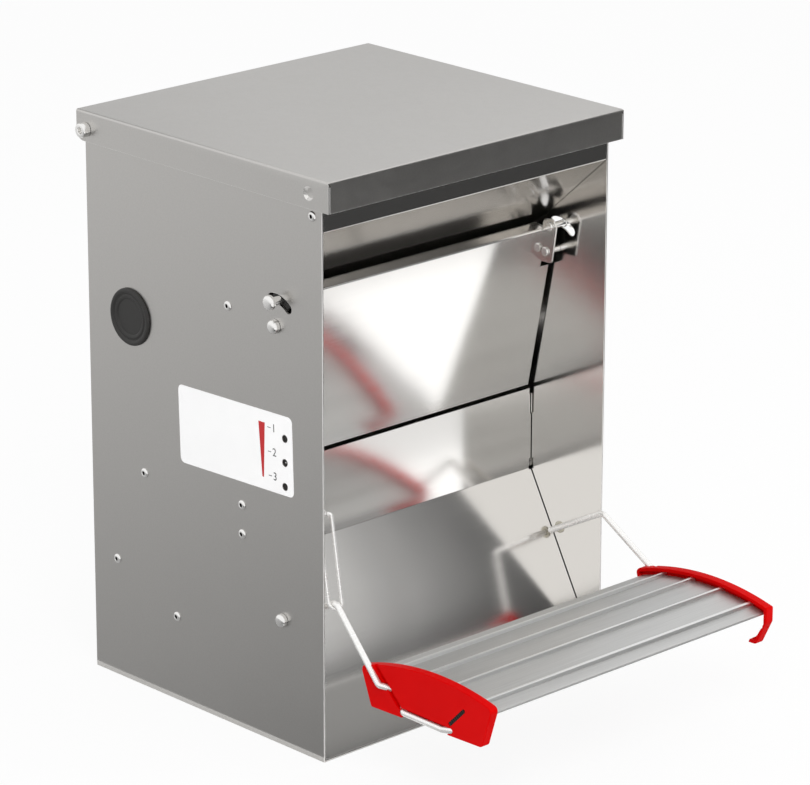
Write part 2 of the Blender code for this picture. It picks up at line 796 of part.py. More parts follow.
def rivets():
    """All the rivets, each its own piece: seven through each side panel, the rest through the back."""
    for name, place in SIDE_RIVETS.items():
        for side in ("left", "right"):
            shape = turned(rivet_profile(SIDE_GRIP), 12, (0, *place), (-1, 0, 0))
            if side == "right":
                shape = mirrored(shape)
            piece("rivet_" + name + "_" + side, shape, ZINC, "housing", smooth=True)
    for number, z in enumerate(BACK_RIVET_HEIGHTS, 1):
        for side in ("left", "right"):
            shape = turned(rivet_profile(SIDE_GRIP), 12, (BACK_RIVET_INSET, DEPTH, z), (0, 1, 0))
            if side == "right":
                shape = mirrored(shape)
            piece("rivet_back_" + str(number) + "_" + side, shape, ZINC, "housing", smooth=True)


def plug():
    """The push-in plug of the filling hole, with raised rings on its face."""
    neck = PLUG_HOLE_RADIUS - GAP
    bead = PLUG_HOLE_RADIUS + 0.8 * MM
    ring = 1.1 * MM
    under = -PANEL - GAP
    profile = [
        (0, GAP + PLUG_FLANGE - ring),
        (0, GAP + 0.4 * MM),
        (neck - PLUG_WALL, GAP + 0.4 * MM),
        (neck - PLUG_WALL, -PLUG_SKIRT),
        (neck, -PLUG_SKIRT),
        (bead, under - 1.6 * MM),
        (bead, under - 0.6 * MM),
        (neck, under),
        (neck, GAP),
        (PLUG_RADIUS, GAP),
        (PLUG_RADIUS, GAP + PLUG_FLANGE * 0.5),
        (PLUG_RADIUS - 1.2 * MM, GAP + PLUG_FLANGE),
    ]
    top = GAP + PLUG_FLANGE
    for share in (0.86, 0.62, 0.38):
        radius = PLUG_RADIUS * share
        profile += [
            (radius + ring, top),
            (radius + ring * 0.6, top - ring),
            (radius - ring * 0.6, top - ring),
            (radius - ring, top),
        ]
    profile += [(PLUG_RADIUS * 0.2, top), (PLUG_RADIUS * 0.16, top - ring)]
    shape = turned(profile[::-1] + [(0, GAP + PLUG_FLANGE - ring)], 28, (0, *PLUG_CENTRE), (-1, 0, 0))
    piece("filling_plug", shape, BLACK_PLASTIC, "housing", smooth=True)


# Lid and its hinge

def lid():
    """The hinged lid: one sheet with a front skirt and two side flanges, open at the rear."""
    left = -LID_SIDE_OVERHANG
    right = WIDTH + LID_SIDE_OVERHANG
    front = -LID_FRONT_OVERHANG
    rear = DEPTH + LID_REAR_OVERHANG
    shell = block((left, front, LID_BOTTOM), (right, rear, HEIGHT))
    edges = [
        e
        for e in shell.edges
        if all(v.co.z > HEIGHT - GAP for v in e.verts) and not all(v.co.y > rear - GAP for v in e.verts)
    ]
    bmesh.ops.bevel(
        shell,
        geom=edges,
        offset=LID_EDGE_RADIUS,
        offset_type="OFFSET",
        affect="EDGES",
        segments=3,
        profile=0.5,
        material=-1,
    )
    made = piece("lid", shell, GALVANISED, "lid")
    inside_left = left + LID_SHEET
    inside_front = front + LID_SHEET
    hollow = block(
        (inside_left, inside_front, LID_BOTTOM - MM),
        (right - LID_SHEET, rear + MM, HEIGHT - LID_SHEET),
    )
    cut(made, hollow)

    def cup_bump():
        face = inside_left - LID_SHEET / 2
        reach = -GAP - face - 0.1 * MM
        profile = [
            (0, 0),
            (CUP_MOUTH_RADIUS + LID_SHEET * 0.7, 0),
            (CUP_FLOOR_RADIUS + LID_SHEET * 0.7, reach),
            (0, reach),
        ]
        return turned(profile, 20, (face, CUP_INSET, HEIGHT - CUP_DROP), (1, 0, 0))

    slit_top = HEIGHT - LID_SLIT_TOP
    slit_right = inside_left + GAP

    def relief():
        start = ((inside_left + slit_right) / 2, front - LID_SHEET, slit_top)
        return drum(LID_RELIEF_RADIUS, 3 * LID_SHEET, 10, start, (0, 1, 0))

    def openings():
        reach = 2 * LID_CORNER_RADIUS
        square = [(rear - reach, LID_BOTTOM), (rear, LID_BOTTOM), (rear, LID_BOTTOM + reach)]
        rear_corner = rounded(square, LID_CORNER_RADIUS, 5)[1:-1]
        rear_corner += [(rear + MM, rear_corner[-1][1]), (rear + MM, LID_BOTTOM - MM)]
        rear_corner += [(rear_corner[0][0], LID_BOTTOM - MM)]
        depth = -GAP - LID_SHEET - 0.1 * MM - left
        cone = [
            (0, -MM),
            (CUP_MOUTH_RADIUS + 0.5 * MM, -MM),
            (CUP_MOUTH_RADIUS, 0),
            (CUP_FLOOR_RADIUS, depth),
            (0, depth),
        ]
        return merged(
            [
                prism(rear_corner, left - MM, inside_left + MM),
                block((inside_left, front - MM, LID_BOTTOM - MM), (slit_right, inside_front + MM, slit_top)),
                drum(SCREW_RADIUS + GAP, LID_SHEET + 2 * MM, 16, (left - MM, *LID_PIVOT), (1, 0, 0)),
                turned(cone, 20, (left, CUP_INSET, HEIGHT - CUP_DROP), (1, 0, 0)),
            ]
        )

    add(made, both_sides(cup_bump))
    cut(made, both_sides(openings))
    return cut(made, both_sides(relief))


def lid_hinge(side):
    """The screw that the lid turns on, with the spacer outside the panel and the nut inside."""
    seat = -LID_SIDE_OVERHANG - GAP
    tip = INSIDE + NUT_HEIGHT + SCREW_BEYOND_NUT
    head = SCREW_HEAD_LENGTH
    edge = 0.8 * MM
    screw = [
        (0, seat - tip),
        (SCREW_RADIUS, seat - tip),
        (SCREW_RADIUS, 0),
        (SCREW_HEAD_RADIUS, 0),
        (SCREW_HEAD_RADIUS, head - edge),
        (SCREW_HEAD_RADIUS - edge, head),
        (SCREW_SOCKET_RADIUS, head),
        (SCREW_SOCKET_RADIUS, head - SCREW_SOCKET_DEPTH),
        (0, head - SCREW_SOCKET_DEPTH),
    ]
    bore = SCREW_RADIUS + GAP
    spacer_length = LID_SIDE_OVERHANG - LID_SHEET - 2 * GAP
    ring = [(bore, 0), (SPACER_RADIUS, 0), (SPACER_RADIUS, spacer_length), (bore, spacer_length)]
    corner = NUT_ACROSS_FLATS / 2 / math.cos(math.pi / 6)
    spacer = turned(ring, 18, (-GAP, *LID_PIVOT), (-1, 0, 0))
    nut = drum(corner, NUT_HEIGHT, 6, (INSIDE, *LID_PIVOT), (1, 0, 0))
    hole = drum(bore, NUT_HEIGHT + 2 * MM, 16, (INSIDE - MM, *LID_PIVOT), (1, 0, 0))
    shapes = [turned(screw, 20, (seat, *LID_PIVOT), (-1, 0, 0)), spacer, nut, hole]
    if side == "right":
        shapes = [mirrored(shape) for shape in shapes]
    piece("lid_hinge_screw_" + side, shapes[0], ZINC, "housing", smooth=True)
    piece("lid_hinge_spacer_" + side, shapes[1], ZINC, "housing", smooth=True)
    cut(piece("lid_hinge_nut_" + side, shapes[2], ZINC, "housing"), shapes[3])


# Feed door

DOOR_TOP = (DOOR_PIVOT_Y + GAP, DOOR_PIVOT[1] + DOOR_TOP_RISE)
DOOR_BOTTOM = (DOOR_BOTTOM_Y, LIP_TOP + DOOR_BOTTOM_GAP)


def door_plane(z):
    """How far back the door's front face stands at a height."""
    share = (DOOR_TOP[1] - z) / (DOOR_TOP[1] - DOOR_BOTTOM[1])
    return DOOR_TOP[0] + share * (DOOR_BOTTOM[0] - DOOR_TOP[0])


def feed_door():
    """The door plate, flanged along its top, with an ear at each end for the two pins."""
    flange = along(DOOR_TOP, DOOR_TOP_FLANGE_ANGLE, DOOR_TOP_FLANGE, 0)
    route = [flange, DOOR_TOP, DOOR_BOTTOM]
    edge = PANEL + DOOR_SIDE_GAP
    made = piece("feed_door", folded(route, SHEET, edge, WIDTH - edge), INNER_SHEET, "door")
    notch_bottom = DOOR_PIVOT[1] - EAR_NOTCH_DROP

    def notch():
        low = (0, DOOR_TOP[0] - MM, notch_bottom)
        return block(low, (EAR_INSET, flange[0] + 2 * MM, flange[1] + 2 * MM))

    def ear():
        low_z = DOOR_PIVOT[1] - EAR_RADIUS - 2 * MM
        root_y = door_plane(DOOR_PIVOT[1]) + SHEET / 2
        outline = rounded(
            [
                (door_plane(low_z) + SHEET / 2, low_z),
                (DOOR_PIVOT[0] - EAR_RADIUS, low_z),
                (CRANK[0] - EAR_RADIUS, CRANK[1]),
                (CRANK[0] - EAR_RADIUS * 0.4, CRANK[1] + EAR_RADIUS),
                (CRANK[0] + EAR_RADIUS, CRANK[1] + EAR_RADIUS * 0.8),
                (root_y, DOOR_TOP[1] - 4 * MM),
            ],
            [0, 3 * MM, 4 * MM, 4 * MM, 4 * MM, 0],
            3,
            True,
        )
        return prism(outline, EAR_INSET, EAR_INSET + EAR_SHEET)

    def pin_holes():
        return merged(
            [
                drum(PIN_RADIUS + GAP, EAR_SHEET + 2 * MM, 16, (EAR_INSET - MM, *place), (1, 0, 0))
                for place in (DOOR_PIVOT, CRANK)
            ]
        )

    cut(made, both_sides(notch))
    add(made, both_sides(ear))
    return cut(made, both_sides(pin_holes))


def door_pins(side):
    """The door's hinge pin, and the crank pin above it that the link rod pulls."""
    tail = EAR_INSET + EAR_SHEET + GAP
    shoulder = EAR_INSET - GAP
    collar = PIN_TAIL_RADIUS
    stem = [
        (0, -tail - PIN_TAIL_LENGTH),
        (PIN_TAIL_RADIUS, -tail - PIN_TAIL_LENGTH),
        (PIN_TAIL_RADIUS, -tail),
        (PIN_RADIUS, -tail),
        (PIN_RADIUS, -shoulder),
        (collar, -shoulder),
        (collar, -shoulder + 1.2 * MM),
        (PIN_RADIUS, -shoulder + 1.2 * MM),
        (PIN_RADIUS, GAP),
    ]
    dome = [
        (HINGE_HEAD_RADIUS, GAP),
        (HINGE_HEAD_RADIUS, GAP + HINGE_HEAD_LENGTH * 0.45),
        (HINGE_HEAD_RADIUS * 0.88, GAP + HINGE_HEAD_LENGTH * 0.72),
        (HINGE_HEAD_RADIUS * 0.55, GAP + HINGE_HEAD_LENGTH * 0.94),
        (0, GAP + HINGE_HEAD_LENGTH),
    ]
    neck_start = GAP + CRANK_COLLAR_LENGTH
    head_start = neck_start + CRANK_NECK_LENGTH
    head_end = head_start + CRANK_HEAD_LENGTH
    grip = [
        (CRANK_COLLAR_RADIUS, GAP),
        (CRANK_COLLAR_RADIUS, neck_start),
        (CRANK_NECK_RADIUS, neck_start),
        (CRANK_NECK_RADIUS, head_start),
        (CRANK_HEAD_RADIUS * 0.85, head_start),
        (CRANK_HEAD_RADIUS, head_start + CRANK_HEAD_LENGTH * 0.25),
        (CRANK_HEAD_RADIUS, head_start + CRANK_HEAD_LENGTH * 0.6),
        (CRANK_HEAD_RADIUS * 0.7, head_start + CRANK_HEAD_LENGTH * 0.93),
        (0, head_end),
    ]
    for name, head, place in (("door_hinge_pin_", dome, DOOR_PIVOT), ("crank_pin_", grip, CRANK)):
        shape = turned(stem + head, 18, (0, *place), (-1, 0, 0))
        if side == "right":
            shape = mirrored(shape)
        piece(name + side, shape, ZINC, "door", smooth=True)


# Treadle

def arc_z(y, inset):
    """The height of the treadle's arc at a distance back, a given way inside the end caps' outline."""
    reach = CAP_ARC_RADIUS - inset
    return CAP_ARC_CENTRE[1] + math.sqrt(reach**2 - (y - CAP_ARC_CENTRE[0]) ** 2)


def cap_outline(inset):
    """The end cap's side view, or the same outline a given way inside it."""
    steps = 12
    foot_rise = inset * 1.02
    rear_foot = (CAP_REAR_FOOT[0] - inset * 0.7, CAP_REAR_FOOT[1] + foot_rise)
    front_foot = (CAP_FRONT_FOOT[0] + inset * 0.7, CAP_FRONT_FOOT[1] + foot_rise)
    rear_top = CAP_REAR_TOP_Y - inset * 1.25
    front_top = CAP_FRONT_TOP_Y + inset * 1.1
    arc = []
    for i in range(steps + 1):
        y = rear_top + (front_top - rear_top) * i / steps
        arc.append((y, arc_z(y, inset)))
    points = [rear_foot] + arc + [front_foot]
    softer = max(0.4, 1 - inset / CAP_WALL * 0.5)
    radii = [2 * MM, 5 * MM * softer] + [0] * (steps - 1) + [2 * MM * softer, 5 * MM * softer]
    return rounded(points, radii, 3, True)


def arm_corners():
    """The corners of the left arm's centre line, from its pivot end round to the hook in the end cap."""
    outside = CAP_OUTER - ARM_RADIUS - 2 * GAP
    hidden = CAP_OUTER + CAP_OUTER_WALL + ARM_RADIUS + GAP
    rebate = CAP_OUTER + CAP_REBATE_INSET
    return {
        "pivot_end": Vector((-GAP - PIVOT_CAP_LENGTH + 2 * MM, *TREADLE_PIVOT)),
        "pivot_turn": Vector((ARM_PIVOT_INSET, *TREADLE_PIVOT)),
        "knee": Vector((ARM_KNEE_INSET, *ARM_KNEE)),
        "shoulder": Vector((outside, *ARM_SHOULDER)),
        "entry": Vector((outside, *ARM_ENTRY)),
        "inside": Vector((hidden, *ARM_INSIDE)),
        "exit": Vector((hidden, *ARM_EXIT)),
        "run_start": Vector((rebate, *ARM_RUN_START)),
        "run_end": Vector((rebate, *ARM_RUN_END)),
        "hook": Vector((hidden, *ARM_HOOK)),
    }


def arm_route():
    """The centre line of the left arm, with its bends."""
    corners = list(arm_corners().values())
    tight = [ARM_TIGHT_RADIUS] * (len(corners) - 4)
    return rounded(corners, [0, ARM_BEND_RADIUS, ARM_BEND_RADIUS] + tight + [0], 4)


def right_twin(route):
    """A route of the left side, mirrored to the right."""
    return [Vector((WIDTH - p.x, p.y, p.z)) for p in route]


def sleeve(route, radius):
    """A bmesh tube along a route, for a cutter."""
    made = wire("sleeve", route, radius, WIRE, "housing")
    bpy.context.view_layer.update()
    evaluated = made.evaluated_get(bpy.context.evaluated_depsgraph_get())
    mesh = bpy.data.meshes.new_from_object(evaluated)
    shape = bmesh.new()
    shape.from_mesh(mesh)
    bmesh.ops.recalc_face_normals(shape, faces=shape.faces)
    curve = made.data
    bpy.data.objects.remove(made, do_unlink=True)
    bpy.data.curves.remove(curve)
    bpy.data.meshes.remove(mesh)
    return shape


def end_cap(side):
    """A moulded end cap: an outer wall with a rim all round, hollow towards the platform."""
    corners = arm_corners()
    shape = prism(cap_outline(0), CAP_OUTER, CAP_INNER)
    cavity = prism(cap_outline(CAP_WALL), CAP_OUTER + CAP_OUTER_WALL, CAP_INNER + MM)
    entry = [p for p in arm_route() if p.y < corners["entry"].y + 3 * MM]
    bore = sleeve(entry, ARM_RADIUS + GAP)
    run_start = corners["run_start"]
    run_end = corners["run_end"]
    top = ARM_RADIUS + GAP
    rebate = prism(
        [
            (run_start.y + MM, run_start.z - CAP_REBATE_DROP),
            (run_start.y + MM, run_start.z + top * 0.9),
            (run_end.y - MM, run_end.z + top * 0.9),
            (run_end.y - MM, run_end.z - CAP_REBATE_DROP),
        ],
        CAP_OUTER - MM,
        run_start.x + top,
    )
    shapes = [shape, cavity, bore, rebate]
    if side == "right":
        shapes = [mirrored(s) for s in shapes]
    made = piece("treadle_cap_" + side, shapes[0], RED_PLASTIC, "treadle")
    cut(made, shapes[1])
    cut(made, shapes[2])
    return cut(made, shapes[3])


def platform():
    """The arched aluminium platform with its grip ribs, one extruded section."""
    rib_top = CAP_WALL + GAP
    surface = rib_top + RIB_HEIGHT
    underside = surface + PLATFORM_SHEET
    inside = cap_outline(CAP_WALL + CAP_END_GAP)
    rear = max(y for y, z in inside if z < arc_z(y, surface) + MM) - MM
    front = CAP_FRONT_TOP_Y + CAP_WALL + 2 * CAP_END_GAP + MM
    top = []
    half = RIB_WIDTH / 2
    marks = [RIB_FIRST_Y - RIB_PITCH * i for i in range(RIB_COUNT)]
    steps = 14
    plain = [rear + (front - rear) * i / steps for i in range(steps + 1)]
    plain = [y for y in plain if all(abs(y - m) > RIB_WIDTH for m in marks)]
    for y in plain:
        top.append((y, arc_z(y, surface)))
    for mark in marks:
        chamfer = 0.6 * MM
        top += [
            (mark + half, arc_z(mark + half, surface)),
            (mark + half - 1e-5, arc_z(mark, rib_top) - chamfer),
            (mark + half - chamfer, arc_z(mark, rib_top)),
            (mark - half + chamfer, arc_z(mark, rib_top)),
            (mark - half + 1e-5, arc_z(mark, rib_top) - chamfer),
            (mark - half, arc_z(mark - half, surface)),
        ]
    top.sort(key=lambda p: -p[0])
    below = [(y, arc_z(y, underside)) for y in (rear + (front - rear) * i / steps for i in range(steps + 1))]
    end = CAP_OUTER + CAP_OUTER_WALL + CAP_END_GAP
    shape = prism(top + below[::-1], end, WIDTH - end)
    return piece("treadle_platform", shape, ALUMINIUM, "treadle")


def treadle_arm(side):
    """The bent wire arm, its press-on pivot cap outside and the nylon bush it turns in."""
    route = arm_route()
    if side == "right":
        route = right_twin(route)
    wire("treadle_arm_" + side, route, ARM_RADIUS, WIRE, "treadle", resolution=3)
    bore = ARM_RADIUS + GAP
    length = PIVOT_CAP_LENGTH
    radius = PIVOT_CAP_RADIUS
    hollow = length - 2 * MM + GAP
    dome = [
        (0, GAP + hollow),
        (bore, GAP + hollow),
        (bore, GAP),
        (radius, GAP),
        (radius, GAP + length * 0.4),
        (radius * 0.88, GAP + length * 0.7),
        (radius * 0.55, GAP + length * 0.93),
        (0, GAP + length),
    ]
    inner = PANEL + GAP
    bush = [
        (bore, 0),
        (bore, inner + BUSH_FLANGE),
        (BUSH_FLANGE_RADIUS, inner + BUSH_FLANGE),
        (BUSH_FLANGE_RADIUS, inner),
        (BUSH_RADIUS, inner),
        (BUSH_RADIUS, 0),
    ]
    shapes = [
        turned(dome, 20, (0, *TREADLE_PIVOT), (-1, 0, 0)),
        turned(bush, 20, (0, *TREADLE_PIVOT), (1, 0, 0)),
    ]
    if side == "right":
        shapes = [mirrored(s) for s in shapes]
    piece("pivot_cap_" + side, shapes[0], ZINC, "treadle", smooth=True)
    piece("pivot_bush_" + side, shapes[1], NYLON, "housing", smooth=True)


# Link rod and return spring

def knee_apex():
    """The middle of the arm's bend and the way to its inner side."""
    corners = arm_corners()
    turn, knee, down = corners["pivot_turn"], corners["knee"], corners["shoulder"]
    inward = ((turn - knee).normalized() + (down - knee).normalized()).normalized()
    opening = (turn - knee).angle(down - knee)
    short = ARM_BEND_RADIUS / math.sin(opening / 2) - ARM_BEND_RADIUS
    return knee + inward * short, inward


def link_corners():
    """The points that the link rod's centre line is laid through, and its two directions."""
    apex, inward = knee_apex()
    low = apex + inward * (ARM_RADIUS + LINK_RADIUS + LINK_HOOK_CLEARANCE)
    low.x = (LINK_REAR_LEG_INSET + LINK_FRONT_LEG_INSET) / 2
    eye = Vector((LINK_EYE_INSET, *CRANK))
    lean = Vector((0, eye.y - low.y, eye.z - low.z)).normalized()
    side_step = low.x - LINK_REAR_LEG_INSET
    back_step = math.sqrt(LINK_HOOK_RADIUS**2 - side_step**2)
    across = Vector((side_step, -back_step, 0)).normalized()
    centre = low + lean * LINK_HOOK_RADIUS
    rear_foot = centre - across * LINK_HOOK_RADIUS
    front_foot = centre + across * LINK_HOOK_RADIUS
    square = Vector((0, -lean.z, lean.y))
    touch = eye + square * (PIN_RADIUS + LINK_EYE_CLEARANCE + LINK_RADIUS)
    up = (touch - rear_foot).normalized()
    top = front_foot + up * LINK_FRONT_LEG
    tail = rear_foot + up * (LINK_FRONT_LEG - 1.5 * MM) + across * (2 * LINK_RADIUS + 0.7 * MM)
    return {
        "eye": eye,
        "square": square,
        "lean": lean,
        "across": across,
        "centre": centre,
        "front_foot": front_foot,
        "top": top,
        "tail": tail,
    }


def link_route():
    """The link's centre line: eye on the crank pin, hook under the arm's knee, curl of the short end."""
    at = link_corners()
    eye_radius = PIN_RADIUS + LINK_EYE_CLEARANCE + LINK_RADIUS
    route = []
    turns = 12
    for i in range(turns, -1, -1):
        angle = math.radians(300) * i / turns
        spoke = at["square"] * math.cos(angle) + at["lean"] * math.sin(angle)
        route.append(at["eye"] + spoke * eye_radius)
    hook = 8
    for i in range(hook + 1):
        angle = math.pi * i / hook
        spoke = at["across"] * math.cos(angle) + at["lean"] * math.sin(angle)
        route.append(at["centre"] - spoke * LINK_HOOK_RADIUS)
    return route + rounded([at["front_foot"], at["top"], at["tail"]], LINK_CURL_RADIUS, 5)[1:]


def spring_route():
    """The return spring's centre line: loop on the link's curl, coils, end in the middle adjuster hole."""
    at = link_corners()
    seat = at["top"].lerp(at["tail"], SPRING_SEAT_SHARE)
    anchor = Vector((SPRING_INSET, ADJUSTER_Y, ADJUSTER_HEIGHTS[1]))
    up = (anchor - seat).normalized()
    held = (at["tail"] - at["top"]).normalized()
    back = (held - up * held.dot(up)).normalized()
    across = up.cross(back)
    loop = LINK_RADIUS + SPRING_WIRE + SPRING_LOOP_CLEARANCE
    route = []
    for i in range(9):
        angle = math.pi * (2 - i / 8)
        route.append(seat + across * loop * math.cos(angle) + up * loop * math.sin(angle))
    length = SPRING_TURNS * SPRING_PITCH
    first = seat + up * SPRING_LOWER_LEG
    route.append(seat + up * 2.5 * loop)
    route.append(first - up * 2.5 * SPRING_WIRE)
    total = SPRING_TURNS * POINTS_PER_TURN
    for i in range(total + 1):
        angle = math.tau * i / POINTS_PER_TURN
        spoke = across * math.cos(angle) + back * math.sin(angle)
        route.append(first + up * length * i / total + spoke * SPRING_COIL_RADIUS)
    route.append(first + up * (length + 2.5 * SPRING_WIRE))
    route.append(anchor - up * 2 * MM)
    route.append(anchor + Vector((-2.0 * MM, 0, 0)))
    route.append(Vector((PANEL * 0.4, anchor.y, anchor.z)))
    return route


def least_gap(route, radius, skip):
    """The smallest clear distance between stretches of a wire that aren't next to each other."""
    best = None
    for i, first in enumerate(route):
        for second in route[i + skip :]:
            between = (first - second).length - 2 * radius
            best = between if best is None else min(best, between)
    return best


def return_spring():
    """The spring that lifts the treadle and shuts the door, set by which of three holes its top end is in."""
    route = spring_route()
    coil = route[11:-4]
    print("return spring, least gap in mm:", round(least_gap(coil, SPRING_WIRE, POINTS_PER_TURN - 1) / MM, 2))
    return wire("return_spring", route, SPRING_WIRE, WIRE, "housing", resolution=1)


# The whole feeder

for side in ("left", "right"):
    side_panel(side)
    lid_hinge(side)
    door_pins(side)
    end_cap(side)
    treadle_arm(side)

back_panel()
hopper_front()
trough_front()
feed_floor()
brace_plate()
base_plate()
rivets()
plug()
lid()
feed_door()
platform()
wire("link_rod", link_route(), LINK_RADIUS, WIRE, "link")
return_spring()
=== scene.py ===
# %% [markdown]
# # A treadle feeder for ducks
# The feeder is a box of folded galvanised sheet with a hinged lid. A duck stands on
# the aluminium treadle, the wire arms turn on the side panels, a link rod pulls a pin
# down its curved slot, and the feed door behind swings inwards over the trough.
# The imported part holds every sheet, pin and wire in its place. This lesson gives them
# the finish that a photograph would show: broken edges, turned fasteners, smooth
# wires, moulded caps, and a material for every surface.

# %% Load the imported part
import json
import math

import bmesh
import bpy
from mathutils import Matrix, Vector


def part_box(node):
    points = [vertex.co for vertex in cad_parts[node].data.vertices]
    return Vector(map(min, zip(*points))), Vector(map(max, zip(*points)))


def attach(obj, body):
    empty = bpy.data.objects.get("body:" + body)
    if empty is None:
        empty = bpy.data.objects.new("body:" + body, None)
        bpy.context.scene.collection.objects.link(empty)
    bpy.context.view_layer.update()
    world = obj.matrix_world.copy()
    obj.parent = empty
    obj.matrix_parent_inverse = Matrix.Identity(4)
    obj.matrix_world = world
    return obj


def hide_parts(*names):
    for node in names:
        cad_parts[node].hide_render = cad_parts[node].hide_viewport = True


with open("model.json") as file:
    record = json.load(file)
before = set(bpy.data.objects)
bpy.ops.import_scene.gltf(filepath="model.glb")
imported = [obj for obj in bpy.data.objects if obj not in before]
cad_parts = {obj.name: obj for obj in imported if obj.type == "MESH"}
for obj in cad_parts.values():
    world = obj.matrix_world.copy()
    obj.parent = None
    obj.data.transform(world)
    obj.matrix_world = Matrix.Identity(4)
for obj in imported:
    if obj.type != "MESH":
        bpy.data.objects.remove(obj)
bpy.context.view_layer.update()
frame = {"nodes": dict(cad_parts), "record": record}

parts = frame["nodes"]
print("packed pieces:", len(parts))

# %% [markdown]
# ## Measures
# The feeder was set out from its front left bottom corner, in millimetres: x runs to
# the right from the left panel's outer face, y back from the panels' front edges and z
# up. One helper turns such a measure into a point of the scene, and another reads from
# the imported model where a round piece's axis is.

# %% Workshop measures
MM = 0.001
WIDTH = 330
DEPTH = 298
HEIGHT = 507
PANEL = 1.5
SIDES = ("left", "right")


def at(x, y, z):
    """A point given in millimetres from the front left bottom corner."""
    return Vector((x - WIDTH / 2, y - DEPTH / 2, z)) * MM


def axis_of(node):
    """The (y, z) millimetres that the axis of a packed round piece passes through."""
    low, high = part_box(node)
    middle = (low + high) / 2 / MM
    return middle.y + DEPTH / 2, middle.z


print("panel corner:", tuple(at(0, 0, 0)))

# %% [markdown]
# ## Colour and node helpers
# Colours are written as sRGB hex, and one function turns them to the linear values
# that a renderer adds up. Another adds a node. Most finishes need the same few: noise,
# a sum, a blend of two colours and a relief, each in the tree of its first input.

# %% Colour and node helpers
def linear(hex_colour):
    """An sRGB hex colour as linear RGBA."""
    channels = [int(hex_colour[i : i + 2], 16) / 255 for i in (1, 3, 5)]
    return [c / 12.92 if c <= 0.04045 else ((c + 0.055) / 1.055) ** 2.4 for c in channels] + [1.0]


def set_inputs(node, inputs):
    """Sets a node's inputs to values or to other nodes' outputs."""
    for name, value in inputs.items():
        if isinstance(value, bpy.types.NodeSocket):
            node.id_data.links.new(value, node.inputs[name])
        else:
            node.inputs[name].default_value = value


def add_node(tree, kind, inputs=None, **settings):
    made = tree.nodes.new("ShaderNode" + kind)
    for name, value in settings.items():
        setattr(made, name, value)
    set_inputs(made, inputs or {})
    return made


def noise(place, size_mm, detail=2.0):
    inputs = {"Vector": place, "Scale": 1 / (size_mm * MM), "Detail": detail}
    return add_node(place.id_data, "TexNoise", inputs).outputs[0]


def multiply_add(value, factor, offset):
    inputs = {0: value, 1: factor, 2: offset}
    return add_node(value.id_data, "Math", inputs, operation="MULTIPLY_ADD").outputs[0]


def blend(share, first, last):
    colours = {0: share, 6: linear(first), 7: linear(last)}
    return add_node(share.id_data, "Mix", colours, data_type="RGBA").outputs[2]


def relief(height, strength, depth_mm):
    """A normal that a shallow relief tilts."""
    inputs = {"Height": height, "Strength": strength, "Distance": depth_mm * MM}
    return add_node(height.id_data, "Bump", inputs).outputs[0]


def drawn_out(place, share):
    """Coordinates that draw a texture out into lines along x."""
    return add_node(place.id_data, "Mapping", {"Vector": place, "Scale": (share, 1, 1)}).outputs[0]


def textured(finish, inputs):
    """Sets a material's shader to values and textures."""
    set_inputs(finish.node_tree.nodes["Principled BSDF"], inputs)
    return finish


def new_finish(name, colour, metallic, roughness):
    """A material with plain values, and the coordinates that its textures start from."""
    made = bpy.data.materials.new(name)
    made.use_nodes = True
    textured(made, {"Base Color": linear(colour), "Metallic": metallic, "Roughness": roughness})
    return made, add_node(made.node_tree, "TexCoord").outputs["Object"]

# %% [markdown]
# ## Galvanised sheet, outside
# The panels and the lid are hot-dip galvanised and skin rolled: a satin grey zinc
# layer whose crystals, the spangle, only just show as glossier or duller patches.
# Voronoi cells give the crystals and fine noise gives the rolled grain.

# %% Satin galvanised sheet
def galvanised_sheet():
    made, place = new_finish("satin_galvanised_sheet", "#C7C5C2", 1.0, 0.32)
    crystals = {"Vector": place, "Scale": 1 / (5 * MM)}
    spangle = add_node(made.node_tree, "TexVoronoi", crystals, feature="SMOOTH_F1")
    patches = multiply_add(spangle.outputs["Color"], 0.05, 0.26)
    grain = noise(place, 1.4, 3.0)
    surface = {
        "Base Color": blend(grain, "#C1BFBC", "#CDCBC8"),
        "Roughness": multiply_add(noise(place, 60), 0.06, patches),
        "Normal": relief(grain, 0.06, 0.05),
    }
    return textured(made, surface)


GALVANISED = galvanised_sheet()
print("made", GALVANISED.name)

# %% [markdown]
# ## Bright sheet, inside
# The sheets in the recess are nearly mirrors. Lines too fine to see, left by the
# roller, blur what they reflect, and because a large thin sheet is never quite flat,
# a broad, shallow bump bends it a little.

# %% Bright rolled sheet
def rolled_sheet(name, colour):
    made, place = new_finish(name, colour, 1.0, 0.2)
    lines = noise(drawn_out(place, 0.02), 1.2, 3.0)
    wave = noise(place, 90, 1.0)
    surface = {"Roughness": multiply_add(lines, 0.05, 0.11), "Normal": relief(wave, 0.25, 1.0)}
    return textured(made, surface)


BRIGHT = rolled_sheet("bright_rolled_sheet", "#ECEAE7")
# A greyer copy paints shade on the hopper's sheet, deep in the recess.
SHADE_ROLLED = rolled_sheet("painted_shade_rolled_sheet", "#C9C6C2")
print("made", BRIGHT.name, SHADE_ROLLED.name)

# %% [markdown]
# ## Deburred edges with a painted highlight
# Where a sheet was sheared or folded sharply, its edge is painted bright as a highlight.
# That hairline gathers light from all round, so it is lighter and duller than the faces beside it.

# %% Painted edge highlights
def painted_edge_highlight():
    made, place = new_finish("painted_highlight_sheet_edge", "#F6F5F3", 0.35, 0.5)
    return textured(made, {"Roughness": multiply_add(noise(place, 2.5), 0.2, 0.42)})


EDGE_HIGHLIGHT = painted_edge_highlight()
print("made", EDGE_HIGHLIGHT.name)
